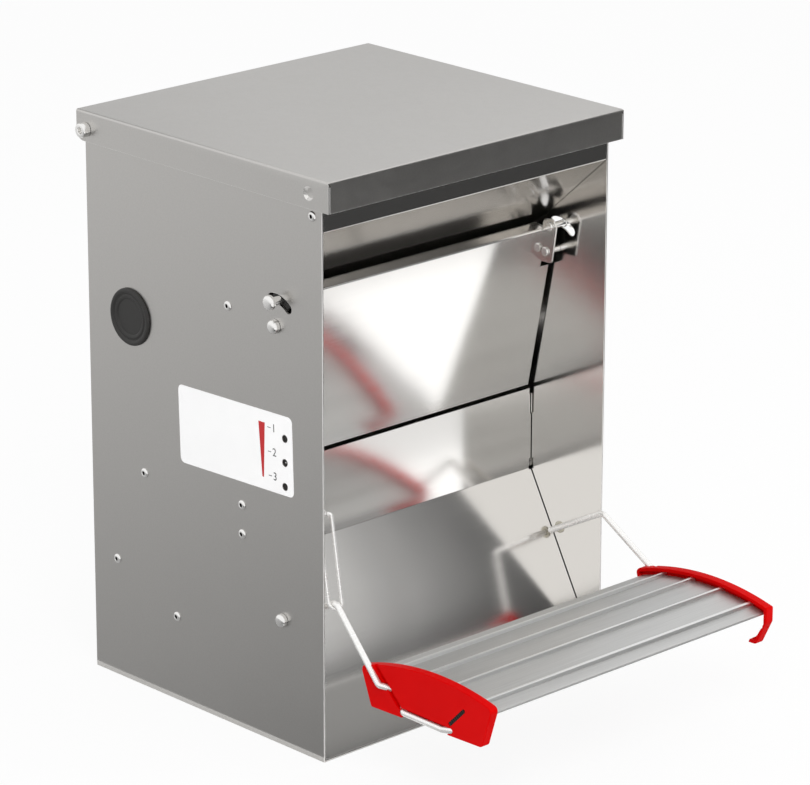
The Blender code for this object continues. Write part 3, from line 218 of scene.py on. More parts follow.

# %% [markdown]
# ## Zinc plated fasteners and drawn wire
# Rivets, screws, pins and wires have a bright zinc plating, smooth but for faint marks
# from the die or the plating barrel. The same recipe, in other greys, paints shade in the
# rivets' hollows, along the lid's side folds and behind the treadle's ribs, and paints a
# highlight on the ribs' tops and fronts.

# %% Bright zinc plating
def marked_metal(name, colour, roughness, mark_mm, metallic=1.0):
    made, place = new_finish(name, colour, metallic, roughness)
    marks = noise(place, mark_mm)
    roughened = multiply_add(marks, 0.12, roughness - 0.06)
    return textured(made, {"Roughness": roughened, "Normal": relief(marks, 0.08, 0.05)})


PLATED = marked_metal("zinc_plated_fastener", "#F2F1EF", 0.2, 1.5)
WIRE = marked_metal("zinc_plated_drawn_wire", "#F8F7F5", 0.26, 0.8, 0.7)
# Painted shade for the rivets' hollows.
HOLLOW_SHADE = marked_metal("painted_shade_rivet_hollow", "#2A2928", 0.5, 0.8)
# Painted shade: a dark line along the lid's side folds and behind the treadle's ribs.
SHADE_LINE = marked_metal("painted_shade_line", "#7E7C79", 0.45, 0.8)
# A painted highlight for the treadle ribs' tops and fronts.
RIB_HIGHLIGHT = marked_metal("painted_highlight_aluminium_rib", "#E9E9E8", 0.36, 0.8)
print("made", PLATED.name, WIRE.name, HOLLOW_SHADE.name, SHADE_LINE.name, RIB_HIGHLIGHT.name)

# %% [markdown]
# ## Brushed aluminium
# The platform is extruded, and the die leaves fine lines from side to side. Noise that
# is stretched a long way along x gives lines about 0.8 mm wide, coarser than the real
# ones, so that they show.

# %% Brushed extruded aluminium
def brushed_aluminium():
    made, place = new_finish("brushed_extruded_aluminium", "#CFCFCE", 1.0, 0.5)
    lines = noise(drawn_out(place, 0.012), 0.8, 4.0)
    surface = {
        "Base Color": blend(lines, "#C0C0BF", "#E0E0DF"),
        "Roughness": multiply_add(lines, 0.16, 0.42),
        "Normal": relief(lines, 0.2, 0.08),
    }
    return textured(made, surface)


ALUMINIUM = brushed_aluminium()
print("made", ALUMINIUM.name)

# %% [markdown]
# ## Moulded plastics
# The end caps are red polypropylene, the plug is black polyethylene and the bushes are
# natural nylon. A moulding takes the fine matt grain of its mould, and its colour
# clouds slightly where the plastic flowed. The label's film and inks use the same
# recipe. The red caps' grain leaves them with hardly any gloss.

# %% Moulded plastics
def moulded_plastic(name, colour, shade, roughness, grain_mm, gloss=0.5):
    made, place = new_finish(name, colour, 0.0, roughness)
    grain = noise(place, grain_mm)
    surface = {
        "Base Color": blend(noise(place, 35), shade, colour),
        "Roughness": multiply_add(grain, 0.1, roughness - 0.05),
        "Normal": relief(grain, 0.15, 0.06),
        "Specular IOR Level": gloss,
    }
    return textured(made, surface)


RED_PLASTIC = moulded_plastic("red_moulded_polypropylene", "#D40304", "#C80203", 0.42, 0.9, 0.03)
BLACK_PLASTIC = moulded_plastic("black_moulded_polyethylene", "#252422", "#1F1E1D", 0.5, 0.9)
NYLON = moulded_plastic("natural_moulded_nylon", "#DAD6C8", "#D2CDBC", 0.45, 0.9)
LABEL_FILM = moulded_plastic("white_vinyl_film", "#FFFFFF", "#FAFAFA", 0.4, 0.6)
DARK_INK = moulded_plastic("dark_printing_ink", "#262626", "#202020", 0.5, 0.5)
RED_INK = moulded_plastic("red_printing_ink", "#C4161C", "#BC1218", 0.5, 0.5)
print("made", RED_PLASTIC.name, BLACK_PLASTIC.name, NYLON.name)

# %% [markdown]
# ## Finishing the sheets
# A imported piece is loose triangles. A copy of it is welded, its flat areas are joined
# into single faces, and its edges get a small bevel, the hairline that catches the
# light along a deburred edge. Normals weighted by area keep the large faces flat. The
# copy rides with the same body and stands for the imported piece.

# %% Putting a piece in the scene
bodies = frame["record"]["behaviour"]["bodies"]
NODE_BODY = {node: body for body, nodes in bodies.items() for node in nodes}


def object_of(name, shape, finish=None):
    mesh = bpy.data.meshes.new(name)
    shape.to_mesh(mesh)
    shape.free()
    if finish:
        mesh.materials.append(finish)
    made = bpy.data.objects.new(name, mesh)
    bpy.context.scene.collection.objects.link(made)
    return made


def put_in_scene(name, shape, finish, body, smooth_angle=35):
    """A finished piece that rides with a body."""
    made = object_of(name, shape, finish)
    made.data.shade_smooth()
    made.data.set_sharp_from_angle(angle=math.radians(smooth_angle))
    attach(made, body)
    return made


def stand_in(name, shape, finish, nodes, other_finishes=(), smooth_angle=35):
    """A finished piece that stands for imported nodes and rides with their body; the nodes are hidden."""
    made = put_in_scene(name, shape, finish, NODE_BODY[nodes[0]], smooth_angle)
    for other in other_finishes:
        made.data.materials.append(other)
    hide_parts(*nodes)
    return made


def weld(shape, distance):
    bmesh.ops.remove_doubles(shape, verts=shape.verts, dist=distance)


def face_out(shape):
    bmesh.ops.recalc_face_normals(shape, faces=shape.faces)


def move(shape, by):
    bmesh.ops.translate(shape, vec=by, verts=shape.verts)


def scale(shape, by):
    bmesh.ops.scale(shape, vec=by, verts=shape.verts)


def bevelled(shape, geometry, width, segments, affect="EDGES"):
    """Rounds edges or corners by a width in the mesh's unit, and returns the new faces."""
    rounding = {"offset": width, "offset_type": "OFFSET", "segments": segments, "profile": 0.5}
    made = bmesh.ops.bevel(
        shape, geom=geometry, affect=affect, material=-1, clamp_overlap=True, **rounding
    )
    return made["faces"]


def break_edges(shape, width_mm, least_mm=3.0, segments=2, least_angle=40):
    """Bevels the sharp outer edges that are long enough, and returns the new faces."""
    sharp = [
        e
        for e in shape.edges
        if len(e.link_faces) == 2
        and e.calc_face_angle_signed(0) > math.radians(least_angle)
        and e.calc_length() > least_mm * MM
    ]
    return bevelled(shape, sharp, width_mm * MM, segments)


def weigh_normals(piece):
    """Keeps large faces flat in shading beside their small bevels."""
    weighted = piece.modifiers.new("flat faces", "WEIGHTED_NORMAL")
    weighted.keep_sharp = True
    weighted.weight = 100


print("bodies:", sorted(bodies))

# %% [markdown]
# ## What differs from sheet to sheet
# The side panels and the fascia are bright where they look into the recess, and so are
# the lid's pressed cups, while a painted shade darkens the bevels of its side folds. Other
# bevels get a painted highlight. Two of the inner sheets stand a little off the panels,
# which leaves a fine dark seam.

# %% Finishing a sheet
OTHER_FINISHES = (EDGE_HIGHLIGHT, BRIGHT, SHADE_LINE)
EDGE_HIGHLIGHT_INDEX, BRIGHT_INDEX, SHADE_LINE_INDEX = 1, 2, 3
BRIGHT_SIDES = {
    "side_panel_left": Vector((1, 0, 0)),
    "side_panel_right": Vector((-1, 0, 0)),
    "hopper_front": Vector((0, -1, 0)),
}
EDGE_WIDTH = 0.32
CUP_CENTRE = (10.9, HEIGHT - 13.8)
CUP_RADIUS = 7
CUP_FACE_AREA = 40
SEAM_GAP = 0.5
SEAMED = ("hopper_front", "trough_front")


def welded_copy(node):
    """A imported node's bmesh, welded and with its flat areas made whole."""
    shape = bmesh.new()
    shape.from_mesh(parts[node].data)
    weld(shape, 0.004 * MM)
    flat = math.radians(1)
    bmesh.ops.dissolve_limit(shape, angle_limit=flat, verts=shape.verts, edges=shape.edges)
    return shape


def in_cup(face):
    """Whether one of the lid's faces belongs to a pressed cup."""
    away = face.calc_center_median() - at(0, *CUP_CENTRE)
    small = face.calc_area() < CUP_FACE_AREA * MM**2
    return small and math.hypot(away.y, away.z) < CUP_RADIUS * MM


def finished_sheet(node, finish):
    shape = welded_copy(node)
    faces_before = len(shape.faces)
    for face in shape.faces:
        looks_in = node in BRIGHT_SIDES and face.normal.dot(BRIGHT_SIDES[node]) > 0.95
        if looks_in or (node == "lid" and in_cup(face)):
            face.material_index = BRIGHT_INDEX
    # Bevels get a painted highlight, except on the lid's side folds, which get a painted shade.
    for face in break_edges(shape, EDGE_WIDTH):
        on_side_fold = node == "lid" and abs(face.normal.x) > 0.2 and face.normal.z > 0.2
        face.material_index = SHADE_LINE_INDEX if on_side_fold else EDGE_HIGHLIGHT_INDEX
    if node in SEAMED:
        low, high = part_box(node)
        narrower = 1 - 2 * SEAM_GAP * MM / (high.x - low.x)
        scale(shape, (narrower, 1, 1))
    print(node, "faces", faces_before, "->", len(shape.faces))
    weigh_normals(stand_in(node + "_finished", shape, finish, [node], OTHER_FINISHES))


OUTER = ("side_panel_left", "side_panel_right", "back_panel", "brace_plate", "base_plate", "lid")
SHEETS = {node: GALVANISED for node in OUTER} | {
    # Painted shade: the hopper's sheet is greyer, except for its front faces.
    "hopper_front": SHADE_ROLLED,
    "trough_front": BRIGHT,
    "feed_floor": GALVANISED,
    "feed_door": BRIGHT,
}
for node, finish in SHEETS.items():
    finished_sheet(node, finish)

# %% [markdown]
# ## Turned pieces
# A round piece starts as half its section, which bmesh's spin turns once round the
# axis, as a lathe would. Sharp rings may get a small bevel, and the piece is aimed and
# moved to its place. Right-hand ones are mirrored.

# %% Turning a piece
LEFT = (-1, 0, 0)
RIGHT = (1, 0, 0)
BACK = (0, 1, 0)
UP = (0, 0, 1)


def stood(shape, place, direction):
    """A shape made along z, aimed in a direction and moved to its place."""
    aim = Vector(UP).rotation_difference(Vector(direction)).to_matrix().to_4x4()
    bmesh.ops.transform(shape, matrix=Matrix.Translation(place) @ aim, verts=shape.verts)
    return shape


def turned(profile, place, direction, steps=48, edge_mm=0.0):
    """A solid turned from (radius, height) millimetres, then aimed and placed."""
    shape = bmesh.new()
    rim = [shape.verts.new((radius * MM, 0, height * MM)) for radius, height in profile]
    edges = [shape.edges.new(pair) for pair in zip(rim, rim[1:])]
    if profile[0][0] > 0:
        edges.append(shape.edges.new((rim[-1], rim[0])))
    whole_turn = {"cent": (0, 0, 0), "axis": UP, "angle": math.tau, "use_merge": True}
    bmesh.ops.spin(shape, geom=rim + edges, steps=steps, **whole_turn)
    weld(shape, 0.001 * MM)
    face_out(shape)
    if edge_mm:
        sharp = [e for e in shape.edges if e.calc_face_angle(0) > math.radians(28)]
        bevelled(shape, sharp, edge_mm * MM, 3)
    return stood(shape, place, direction)


def ring_section(inner, outer, length):
    return [(inner, 0), (outer, 0), (outer, length), (inner, length)]


def handed(shape, side):
    """A left-hand shape as it is, or mirrored for the right side."""
    if side == "right":
        scale(shape, (-1, 1, 1))
        bmesh.ops.reverse_faces(shape, faces=shape.faces)
    return shape


def joined(shapes):
    whole = bmesh.new()
    for shape in shapes:
        mesh = bpy.data.meshes.new("shape")
        shape.to_mesh(mesh)
        shape.free()
        whole.from_mesh(mesh)
        bpy.data.meshes.remove(mesh)
    return whole


# %% [markdown]
# ## Blind rivets
# A blind rivet is set from one side: a pulled stem swells its tail and snaps off, which
# leaves a small hole in a low domed head. Seven hold the inner sheets to each panel,
# and three hold the back panel to each flange.

# %% Blind rivets
RIVET_TAIL = [(0, -5.5), (2.2, -5.5), (2.7, -3.9), (2.7, -3.3), (2, -3.3), (2, 0.05)]
RIVET_HEAD = [(4.2, 0.05), (4.3, 0.35), (4.05, 0.95), (3.3, 1.5), (2.5, 1.78), (1.85, 1.75)]
RIVET_HOLLOW = [(1.6, 1.4), (1.55, 0.3), (0.8, 0.15), (0, 0.1)]
HOLLOW_RADIUS = 1.62
BACK_RIVET_INSET = 9
SIDE_RIVETS = {
    "fascia": (11.6, 473.1),
    "slope": (116.2, 373.9),
    "lip_upper": (100.9, 202.7),
    "lip_lower": (100.9, 176.7),
    "floor": (227.3, 198.3),
    "brace_front": (187.2, 77.6),
    "brace_rear": (266.2, 109.2),
}
BACK_RIVETS = {"back_1": 57.6, "back_2": 201.8, "back_3": 393.9}


def rivet(place, direction):
    """A blind rivet, whose hollow, where its stem's end sits, is painted dark as shade."""
    shape = turned(RIVET_TAIL + RIVET_HEAD + RIVET_HOLLOW, place, direction, 32)
    outward = Vector(direction)
    for face in shape.faces:
        reach = face.calc_center_median() - place
        height = reach.dot(outward)
        from_axis = (reach - outward * height).length
        # Faces in the hollow take the painted shade.
        face.material_index = int(height > 0 and from_axis < HOLLOW_RADIUS * MM)
    return shape


rivet_places = {name: at(0, y, z) for name, (y, z) in SIDE_RIVETS.items()}
rivet_places |= {name: at(BACK_RIVET_INSET, DEPTH, z) for name, z in BACK_RIVETS.items()}
for side in SIDES:
    for row, names, direction in (("panel", SIDE_RIVETS, LEFT), ("back", BACK_RIVETS, BACK)):
        rivets = handed(joined([rivet(rivet_places[name], direction) for name in names]), side)
        nodes = ["rivet_" + name + "_" + side for name in names]
        stand_in(row + "_rivets_" + side, rivets, PLATED, nodes, [HOLLOW_SHADE])
print("rivets:", 2 * len(rivet_places))

# %% [markdown]
# ## The lid's hinge
# The lid turns on a cap screw at each side, with a spacer that keeps the lid off the
# panel, and a nut inside. The screw's socket is turned round and then pulled in to a
# hexagon; the nut is turned in six steps, 10 mm across its flats.

# %% Lid hinge screws, spacers and nuts
LID_PIVOT = axis_of("lid_hinge_spacer_left")
HEAD = 7
SOCKET = 3
SHANK_SECTION = [(0, -13.2), (2.6, -13.2), (3, -12.7), (3, 0), (6.3, 0)]
HEAD_SECTION = [(6.3, HEAD - 1), (6, HEAD - 0.35), (5.4, HEAD)]
SOCKET_SECTION = [
    (SOCKET + 0.5, HEAD), (SOCKET, HEAD - 0.4), (SOCKET, HEAD - 3.4), (0, HEAD - 4.2)
]
BORE = 3.3
SPACER_SECTION = ring_section(BORE, 5.5, 2.55)
NUT_SECTION = ring_section(BORE, 5 / math.cos(math.pi / 6), 5)
SCREW_SEAT = -4.95
SPACER_SEAT = -0.3
NUT_SEAT = 1.8


def hinge_screw():
    """A cap screw whose head stands outside the lid, with its tip through the nut."""
    shape = turned(SHANK_SECTION + HEAD_SECTION + SOCKET_SECTION, (0, 0, 0), UP, 48)
    for v in shape.verts:
        reach = math.hypot(v.co.x, v.co.y)
        if 2 * MM < reach < (SOCKET + 0.6) * MM and v.co.z > 2 * MM:
            around = math.atan2(v.co.y, v.co.x) % (math.pi / 3)
            flat = math.cos(math.pi / 6) / math.cos(around - math.pi / 6)
            v.co.x *= flat
            v.co.y *= flat
    return stood(shape, at(SCREW_SEAT, *LID_PIVOT), LEFT)


for side in SIDES:
    spacer = turned(SPACER_SECTION, at(SPACER_SEAT, *LID_PIVOT), LEFT, 40, 0.25)
    nut = turned(NUT_SECTION, at(NUT_SEAT, *LID_PIVOT), RIGHT, 6, 0.35)
    for name, shape in (("screw", hinge_screw()), ("spacer", spacer), ("nut", nut)):
        node = "lid_hinge_" + name + "_" + side
        stand_in(node + "_turned", handed(shape, side), PLATED, [node])
print("hinge screw head:", HEAD, "mm long")

# %% [markdown]
# ## Pins of the feed door
# The door hangs on a pin at each end. Above it stands the crank pin, whose neck runs in
# the panel's curved slot. Both are riveted into the door's ear. A black washer sits on
# the left crank pin just inside the panel, behind the slot.

# %% Door pins
DOOR_PIVOT = axis_of("door_hinge_pin_left")
CRANK = axis_of("crank_pin_left")
RIVETED_END = [(0, -18.8), (3.3, -18.8), (3.9, -18.3), (3.9, -17.3), (3, -17.3)]
STEM = [(3, -15.2), (3.9, -15.2), (3.9, -14), (3, -14), (3, 0.3)]
HINGE_HEAD = [
    (6, 0.3), (6, 2.6), (5.85, 3.6), (5.4, 4.6), (4.5, 5.5), (3.2, 6.1), (1.6, 6.28), (0, 6.3)
]
CRANK_NECK = [(3.7, 0.3), (3.7, 8.8), (5.4, 8.8)]
CRANK_HEAD = [
    (6.35, 9.6), (6.6, 10.6), (6.55, 11.8), (6.1, 12.9), (5.2, 13.7), (3.6, 14.2), (1.8, 14.38), (0, 14.4)
]
WASHER_SEAT = 2.1
WASHER_SECTION = ring_section(3.1, 10.5, 1.2)

PINS = {
    "door_hinge_pin_": (HINGE_HEAD, DOOR_PIVOT),
    "crank_pin_": (CRANK_NECK + CRANK_HEAD, CRANK),
}
for side in SIDES:
    for name, (head, place) in PINS.items():
        node = name + side
        shape = handed(turned(RIVETED_END + STEM + head, at(0, *place), LEFT), side)
        stand_in(node + "_turned", shape, PLATED, [node])
washer = turned(WASHER_SECTION, at(WASHER_SEAT, *CRANK), RIGHT, 48, 0.2)
put_in_scene("crank_pin_washer", washer, BLACK_PLASTIC, "door")
print("crank pin:", CRANK)

# %% [markdown]
# ## The filling plug
# A moulded push-in plug closes the filling hole in the left panel. Its face has a
# rounded rim and low rings, and behind it a skirt with a bead snaps in the hole.

# %% Filling plug
PLUG_FACE = [(0, 1.1), (15.6, 1.1), (16.4, 1.8), (17.4, 2.15), (18.6, 2.1), (19.4, 1.6)]
PLUG_RIM = [(20.4, 1.6), (21.2, 2.3), (22.3, 2.75), (23.6, 2.8), (24.5, 2.45), (25.1, 1.7)]
PLUG_BEAD = [(25.3, 0.9), (25.3, 0.3), (21.7, 0.3), (21.7, -1.8), (22.8, -2.4), (22.8, -3.4)]
PLUG_SKIRT = [(21.7, -9), (19.7, -9), (19.7, 0.1), (0, 0.1)]
plug_section = PLUG_FACE + PLUG_RIM + PLUG_BEAD + PLUG_SKIRT
plug = turned(plug_section, at(0, *axis_of("filling_plug")), LEFT, 96)
stand_in("filling_plug_moulded", plug, BLACK_PLASTIC, ["filling_plug"], smooth_angle=28)
print("plug radius:", PLUG_BEAD[0][0], "mm")

# %% [markdown]
# ## Bent wires
# A wire is a curve along its centre line with a round bevel: straight runs with an arc
# in place of each corner. Its ends are rounded by letting the radius shrink over the
# last millimetres. The curve becomes a mesh.

# %% Bending a wire
def bent_line(corners, radii, steps=10):
    """A centre line in millimetres with an arc in place of each inner corner."""
    corners = [Vector(c) for c in corners]
    line = []
    for i, corner in enumerate(corners):
        if i in (0, len(corners) - 1) or radii[i] == 0:
            line.append(corner)
            continue
        back = (corners[i - 1] - corner).normalized()
        onward = (corners[i + 1] - corner).normalized()
        opening = back.angle(onward)
        reach = radii[i] / math.tan(opening / 2)
        middle = corner + (back + onward).normalized() * radii[i] / math.sin(opening / 2)
        first = corner + back * reach - middle
        last = corner + onward * reach - middle
        spokes = [first.slerp(last, step / steps) for step in range(steps + 1)]
        line += [middle + spoke * radii[i] for spoke in spokes]
    return line


def arc_line(centre, first, second, radius, start, end, steps):
    """Points of an arc from one angle to another, in the plane of two directions."""
    angles = [start + (end - start) * i / steps for i in range(steps + 1)]
    return [centre + (first * math.cos(a) + second * math.sin(a)) * radius for a in angles]


def settled_mesh(holder):
    """An object's mesh with its curve's bevel or its modifiers applied."""
    settled = holder.evaluated_get(bpy.context.evaluated_depsgraph_get())
    return bpy.data.meshes.new_from_object(settled)


def shape_of(curve, distance):
    """A welded bmesh of a curve or a text, whose holder goes when it is removed."""
    holder = bpy.data.objects.new(curve.name, curve)
    bpy.context.scene.collection.objects.link(holder)
    mesh = settled_mesh(holder)
    shape = bmesh.new()
    shape.from_mesh(mesh)
    bpy.data.curves.remove(curve)
    bpy.data.meshes.remove(mesh)
    weld(shape, distance)
    return shape


def rounded_tip(end, inner, radius):
    """Points from a wire's end inwards, each with its share of the radius."""
    inward = (inner - end).normalized() * radius
    angles = [math.radians(degrees) for degrees in range(0, 105, 15)]
    return [(end + inward * (1 - math.cos(a)), max(math.sin(a), 0.05)) for a in angles]


def wire_shape(line, radius, round_ends=True, sides=6):
    """Round wire along a line of measured points."""
    points = [(p, 1) for p in line]
    if round_ends:
        first_tip = rounded_tip(line[0], line[1], radius)
        last_tip = rounded_tip(line[-1], line[-2], radius)
        points = first_tip + points[1:-1] + last_tip[::-1]
    curve = bpy.data.curves.new("wire", "CURVE")
    curve.dimensions = "3D"
    curve.bevel_depth = radius * MM
    curve.bevel_resolution = sides
    curve.use_fill_caps = True
    spline = curve.splines.new("POLY")
    spline.points.add(len(points) - 1)
    for spot, (place, share) in zip(spline.points, points):
        spot.co = (*at(*place), 1)
        spot.radius = share
    shape = shape_of(curve, 0.001 * MM)
    face_out(shape)
    return shape


# %% [markdown]
# ## Treadle arms
# Each arm starts outside the panel, turns forward inside, bends down at the knee and
# passes over the end cap's outer face. It dives through the cap, comes back out below,
# runs along the cap's bottom edge in a rebate, and hooks back in. The right arm's hook
# is the shorter one, where the platform hides it.

# %% Treadle arms
ARM_RADIUS = 2.7
ARM_CORNERS = [
    (-3.8, 50.3, 113.7),
    (17, 50.3, 113.7),
    (7.3, -7.5, 143.8),
    (-4.85, -72, 93.3),
    (5.35, -82.5, 89.5),
    (5.35, -90.5, 79.5),
    (-0.6, -97, 75.2),
]
HOOK_CORNERS = {
    "left": [(-0.6, -142.5, 74.7), (-0.6, -153, 76.9), (5.35, -159, 78.6)],
    "right": [(-0.6, -121, 74.9), (-0.6, -126, 76.2), (5.35, -130, 78)],
}
ARM_BENDS = [0, 6, 6, 3.4, 3.4, 3.4, 3.4, 3.4, 3, 0]
arm_lines = {side: bent_line(ARM_CORNERS + HOOK_CORNERS[side], ARM_BENDS) for side in SIDES}
for side, line in arm_lines.items():
    node = "treadle_arm_" + side
    arm = handed(wire_shape(line, ARM_RADIUS), side)
    stand_in(node + "_bent", arm, WIRE, [node])
print("arm, points on its centre line:", len(arm_lines["left"]))

# %% [markdown]
# ## Pivot caps and bushes
# A domed steel cap is pressed on the arm's end outside each panel. The nylon bush sits
# in the panel with its flange inside.

# %% Pivot caps and bushes
TREADLE_PIVOT = axis_of("pivot_bush_left")
CAP_SOCKET = [(0, 4.1), (2.85, 4.1), (2.85, 0.3), (6, 0.3)]
CAP_DOME = [(6, 2.4), (5.85, 3.3), (5.4, 4.2), (4.5, 5), (3.2, 5.55), (1.6, 5.77), (0, 5.8)]
BUSH_SECTION = [(2.9, 0), (2.9, 2.3), (5.3, 2.3), (5.3, 1.6), (4.5, 1.6), (4.5, 0)]
for side in SIDES:
    node = "pivot_cap_" + side
    cap = handed(turned(CAP_SOCKET + CAP_DOME, at(0, *TREADLE_PIVOT), LEFT), side)
    stand_in(node + "_turned", cap, PLATED, [node])
    node = "pivot_bush_" + side
    bush = handed(turned(BUSH_SECTION, at(0, *TREADLE_PIVOT), RIGHT, 48, 0.2), side)
    stand_in(node + "_moulded", bush, NYLON, [node])
print("treadle pivot:", TREADLE_PIVOT)

# %% [markdown]
# ## The link rod
# The link hangs on the left crank pin by an open eye, runs down inside the panel,
# hooks under the arm's knee and comes back up beside itself to a short curl.

# %% Link rod
LINK_RADIUS = 1.6
EYE_CENTRE = Vector((8.5, *CRANK))
EYE_RADIUS = 5.7
EYE_TURN = math.radians(300)
HOOK_CENTRE = Vector((7.8, -5.654, 143.525))
HOOK_RADIUS = 5.5
FRONT_FOOT = Vector((12.2, -8.954, 143.525))
CURL_TOP = Vector((13.714, 5.538, 218.115))
CURL_TAIL = Vector((7.524, 9.872, 216.643))
CURL_RADIUS = 3.2
LEAN = Vector((0, 0.2248, 0.97441))
SQUARE = Vector((0, -0.97441, 0.2248))
ACROSS_HOOK = Vector((0.8, -0.6, 0))


def link_line():
    """The link's centre line: its eye, its hook, and the short end with its curl."""
    eye = arc_line(EYE_CENTRE, SQUARE, LEAN, EYE_RADIUS, EYE_TURN, 0, 30)
    hook = arc_line(HOOK_CENTRE, -ACROSS_HOOK, -LEAN, HOOK_RADIUS, 0, math.pi, 18)
    return eye + hook + bent_line([FRONT_FOOT, CURL_TOP, CURL_TAIL], [0, CURL_RADIUS, 0])[1:]


link = wire_shape(link_line(), LINK_RADIUS)
stand_in("link_rod_bent", link, WIRE, ["link_rod"])
print("link, from hook to eye:", round((EYE_CENTRE - HOOK_CENTRE).length, 1), "mm")

# %% [markdown]
# ## The return spring
# A coil of fine wire pulls the link's curl up towards the middle one of the three
# adjuster holes. Its lower leg slides out of the coil as the spring stretches, so the
# leg is a piece of its own that rides with the link.

# %% Return spring
ADJUSTER_Y = 46.5
HOLE_PITCH = 21
ADJUSTER_HOLES = (233, 254, 275)
SPRING_HOLE = ADJUSTER_HOLES[1]
SPRING_WIRE = 0.65
SPRING_SEAT = Vector((10.619, 7.705, 217.379))
SPRING_ANCHOR = Vector((9, ADJUSTER_Y, SPRING_HOLE))
SPRING_END = Vector((0.6, ADJUSTER_Y, SPRING_HOLE))
LOOP_RADIUS = LINK_RADIUS + SPRING_WIRE + 0.65
COIL_RADIUS = 3.4
COIL_START = 18
COIL_LENGTH = 23
LEG_IN_COIL = 12
TURNS = 10
STEPS_PER_TURN = 24

up = (SPRING_ANCHOR - SPRING_SEAT).normalized()
held = (CURL_TAIL - CURL_TOP).normalized()
back = (held - up * held.dot(up)).normalized()
across = up.cross(back)


def leg_line():
    """Half a loop round the link's curl, and the leg that goes up into the coil."""
    loop = arc_line(SPRING_SEAT, across, up, LOOP_RADIUS, math.tau, math.pi, 16)
    neck = SPRING_SEAT + up * 2.5 * LOOP_RADIUS
    return loop + [neck, SPRING_SEAT + up * (COIL_START + LEG_IN_COIL)]


def coil_line():
    """The coil's turns, and the end that reaches through the adjuster hole."""
    foot = SPRING_SEAT + up * COIL_START
    steps = TURNS * STEPS_PER_TURN
    circles = arc_line(foot, across, back, COIL_RADIUS, 0, TURNS * math.tau, steps)
    coil = [place + up * COIL_LENGTH * i / steps for i, place in enumerate(circles)]
    neck = foot + up * (COIL_LENGTH + 1.6)
    end = [neck, SPRING_ANCHOR - up * 2, SPRING_ANCHOR + Vector((-2, 0, 0)), SPRING_END]
    return [foot - up * 0.8 + across * 0.9] + coil + end


leg = wire_shape(leg_line(), SPRING_WIRE, sides=4)
put_in_scene("spring_leg", leg, WIRE, "link")
coil = wire_shape(coil_line(), SPRING_WIRE, sides=4)
stand_in("spring_coil", coil, WIRE, ["return_spring"])
print("spring turns:", TURNS)

# %% [markdown]
# ## The spring's anchor strip, black as painted shade
# A black strip lies behind the adjuster holes, on the panel's inner face. The spring's
# end hooks in it, and it closes the holes to the light: its black is painted shade.

# %% Anchor strip
STRIP_SIZE = Vector((2, 11, 56))
STRIP_CORNER = 4
STRIP_MIDDLE = PANEL + 0.05 + STRIP_SIZE.x / 2


def anchor_and_shade_strip():
    shape = bmesh.new()
    bmesh.ops.create_cube(shape, size=1)
    scale(shape, STRIP_SIZE * MM)
    corners = [e for e in shape.edges if abs(e.verts[0].co.x - e.verts[1].co.x) > MM]
    bevelled(shape, corners, STRIP_CORNER * MM, 6)
    move(shape, at(STRIP_MIDDLE, ADJUSTER_Y, SPRING_HOLE))
    return shape


put_in_scene("spring_anchor_and_shade_strip", anchor_and_shade_strip(), BLACK_PLASTIC, "housing")
print("anchor strip:", STRIP_SIZE)

# %% [markdown]
# ## The treadle's platform
# The platform is one aluminium extrusion, arched from rear to front, with four square
# ribs for grip. Its section is extruded across the feeder, and the ribs' corners get a
# small bevel. A painted highlight lies on the ribs' tops and fronts, and a painted shade
# on their rear bevels.

# %% Arched section
ARC_RADIUS = 268
CROWN = (-134.1, 117.4)
CAP_WALL = 3


def arc_height(y, inset):
    """The height of the treadle's arch at y, some way inside the end caps' outline."""
    reach = ARC_RADIUS - inset
    return CROWN[1] - ARC_RADIUS + math.sqrt(reach**2 - (y - CROWN[0]) ** 2)


def swept(corners, along):
    """A solid from a closed outline, drawn out along a vector."""
    shape = bmesh.new()
    face = shape.faces.new([shape.verts.new(corner) for corner in corners])
    grown = bmesh.ops.extrude_face_region(shape, geom=[face])
    moved = [v for v in grown["geom"] if isinstance(v, bmesh.types.BMVert)]
    bmesh.ops.translate(shape, vec=along, verts=moved)
    face_out(shape)
    return shape


def extruded(outline, start, end):
    """A solid from a closed (y, z) outline, drawn out along x from start to end."""
    return swept([at(start, y, z) for y, z in outline], ((end - start) * MM, 0, 0))


# %% Platform
RIB_TOP = CAP_WALL + 0.3
SURFACE = RIB_TOP + 3.4
UNDERSIDE = SURFACE + 2
RIB_WIDTH = 3.2
RIB_PITCH = 33.6
RIB_MARKS = [-80.5 - RIB_PITCH * i for i in range(4)]
RIB_STEPS = ((0.5, SURFACE), (0.4999, RIB_TOP), (-0.4999, RIB_TOP), (-0.5, SURFACE))
PLATFORM_END = 3.4
FRONT_TRIM = 4
SECTION_STEPS = 60
# Slots for the ribs' painted highlight and their painted shade.
RIB_HIGHLIGHT_INDEX, RIB_SHADE_INDEX = 1, 2


def by_rib(y, share):
    """Whether y is within a share of a rib's width of its middle."""
    return any(abs(y - mark) < share * RIB_WIDTH for mark in RIB_MARKS)


def middle_y(face):
    return face.calc_center_median().y / MM + DEPTH / 2


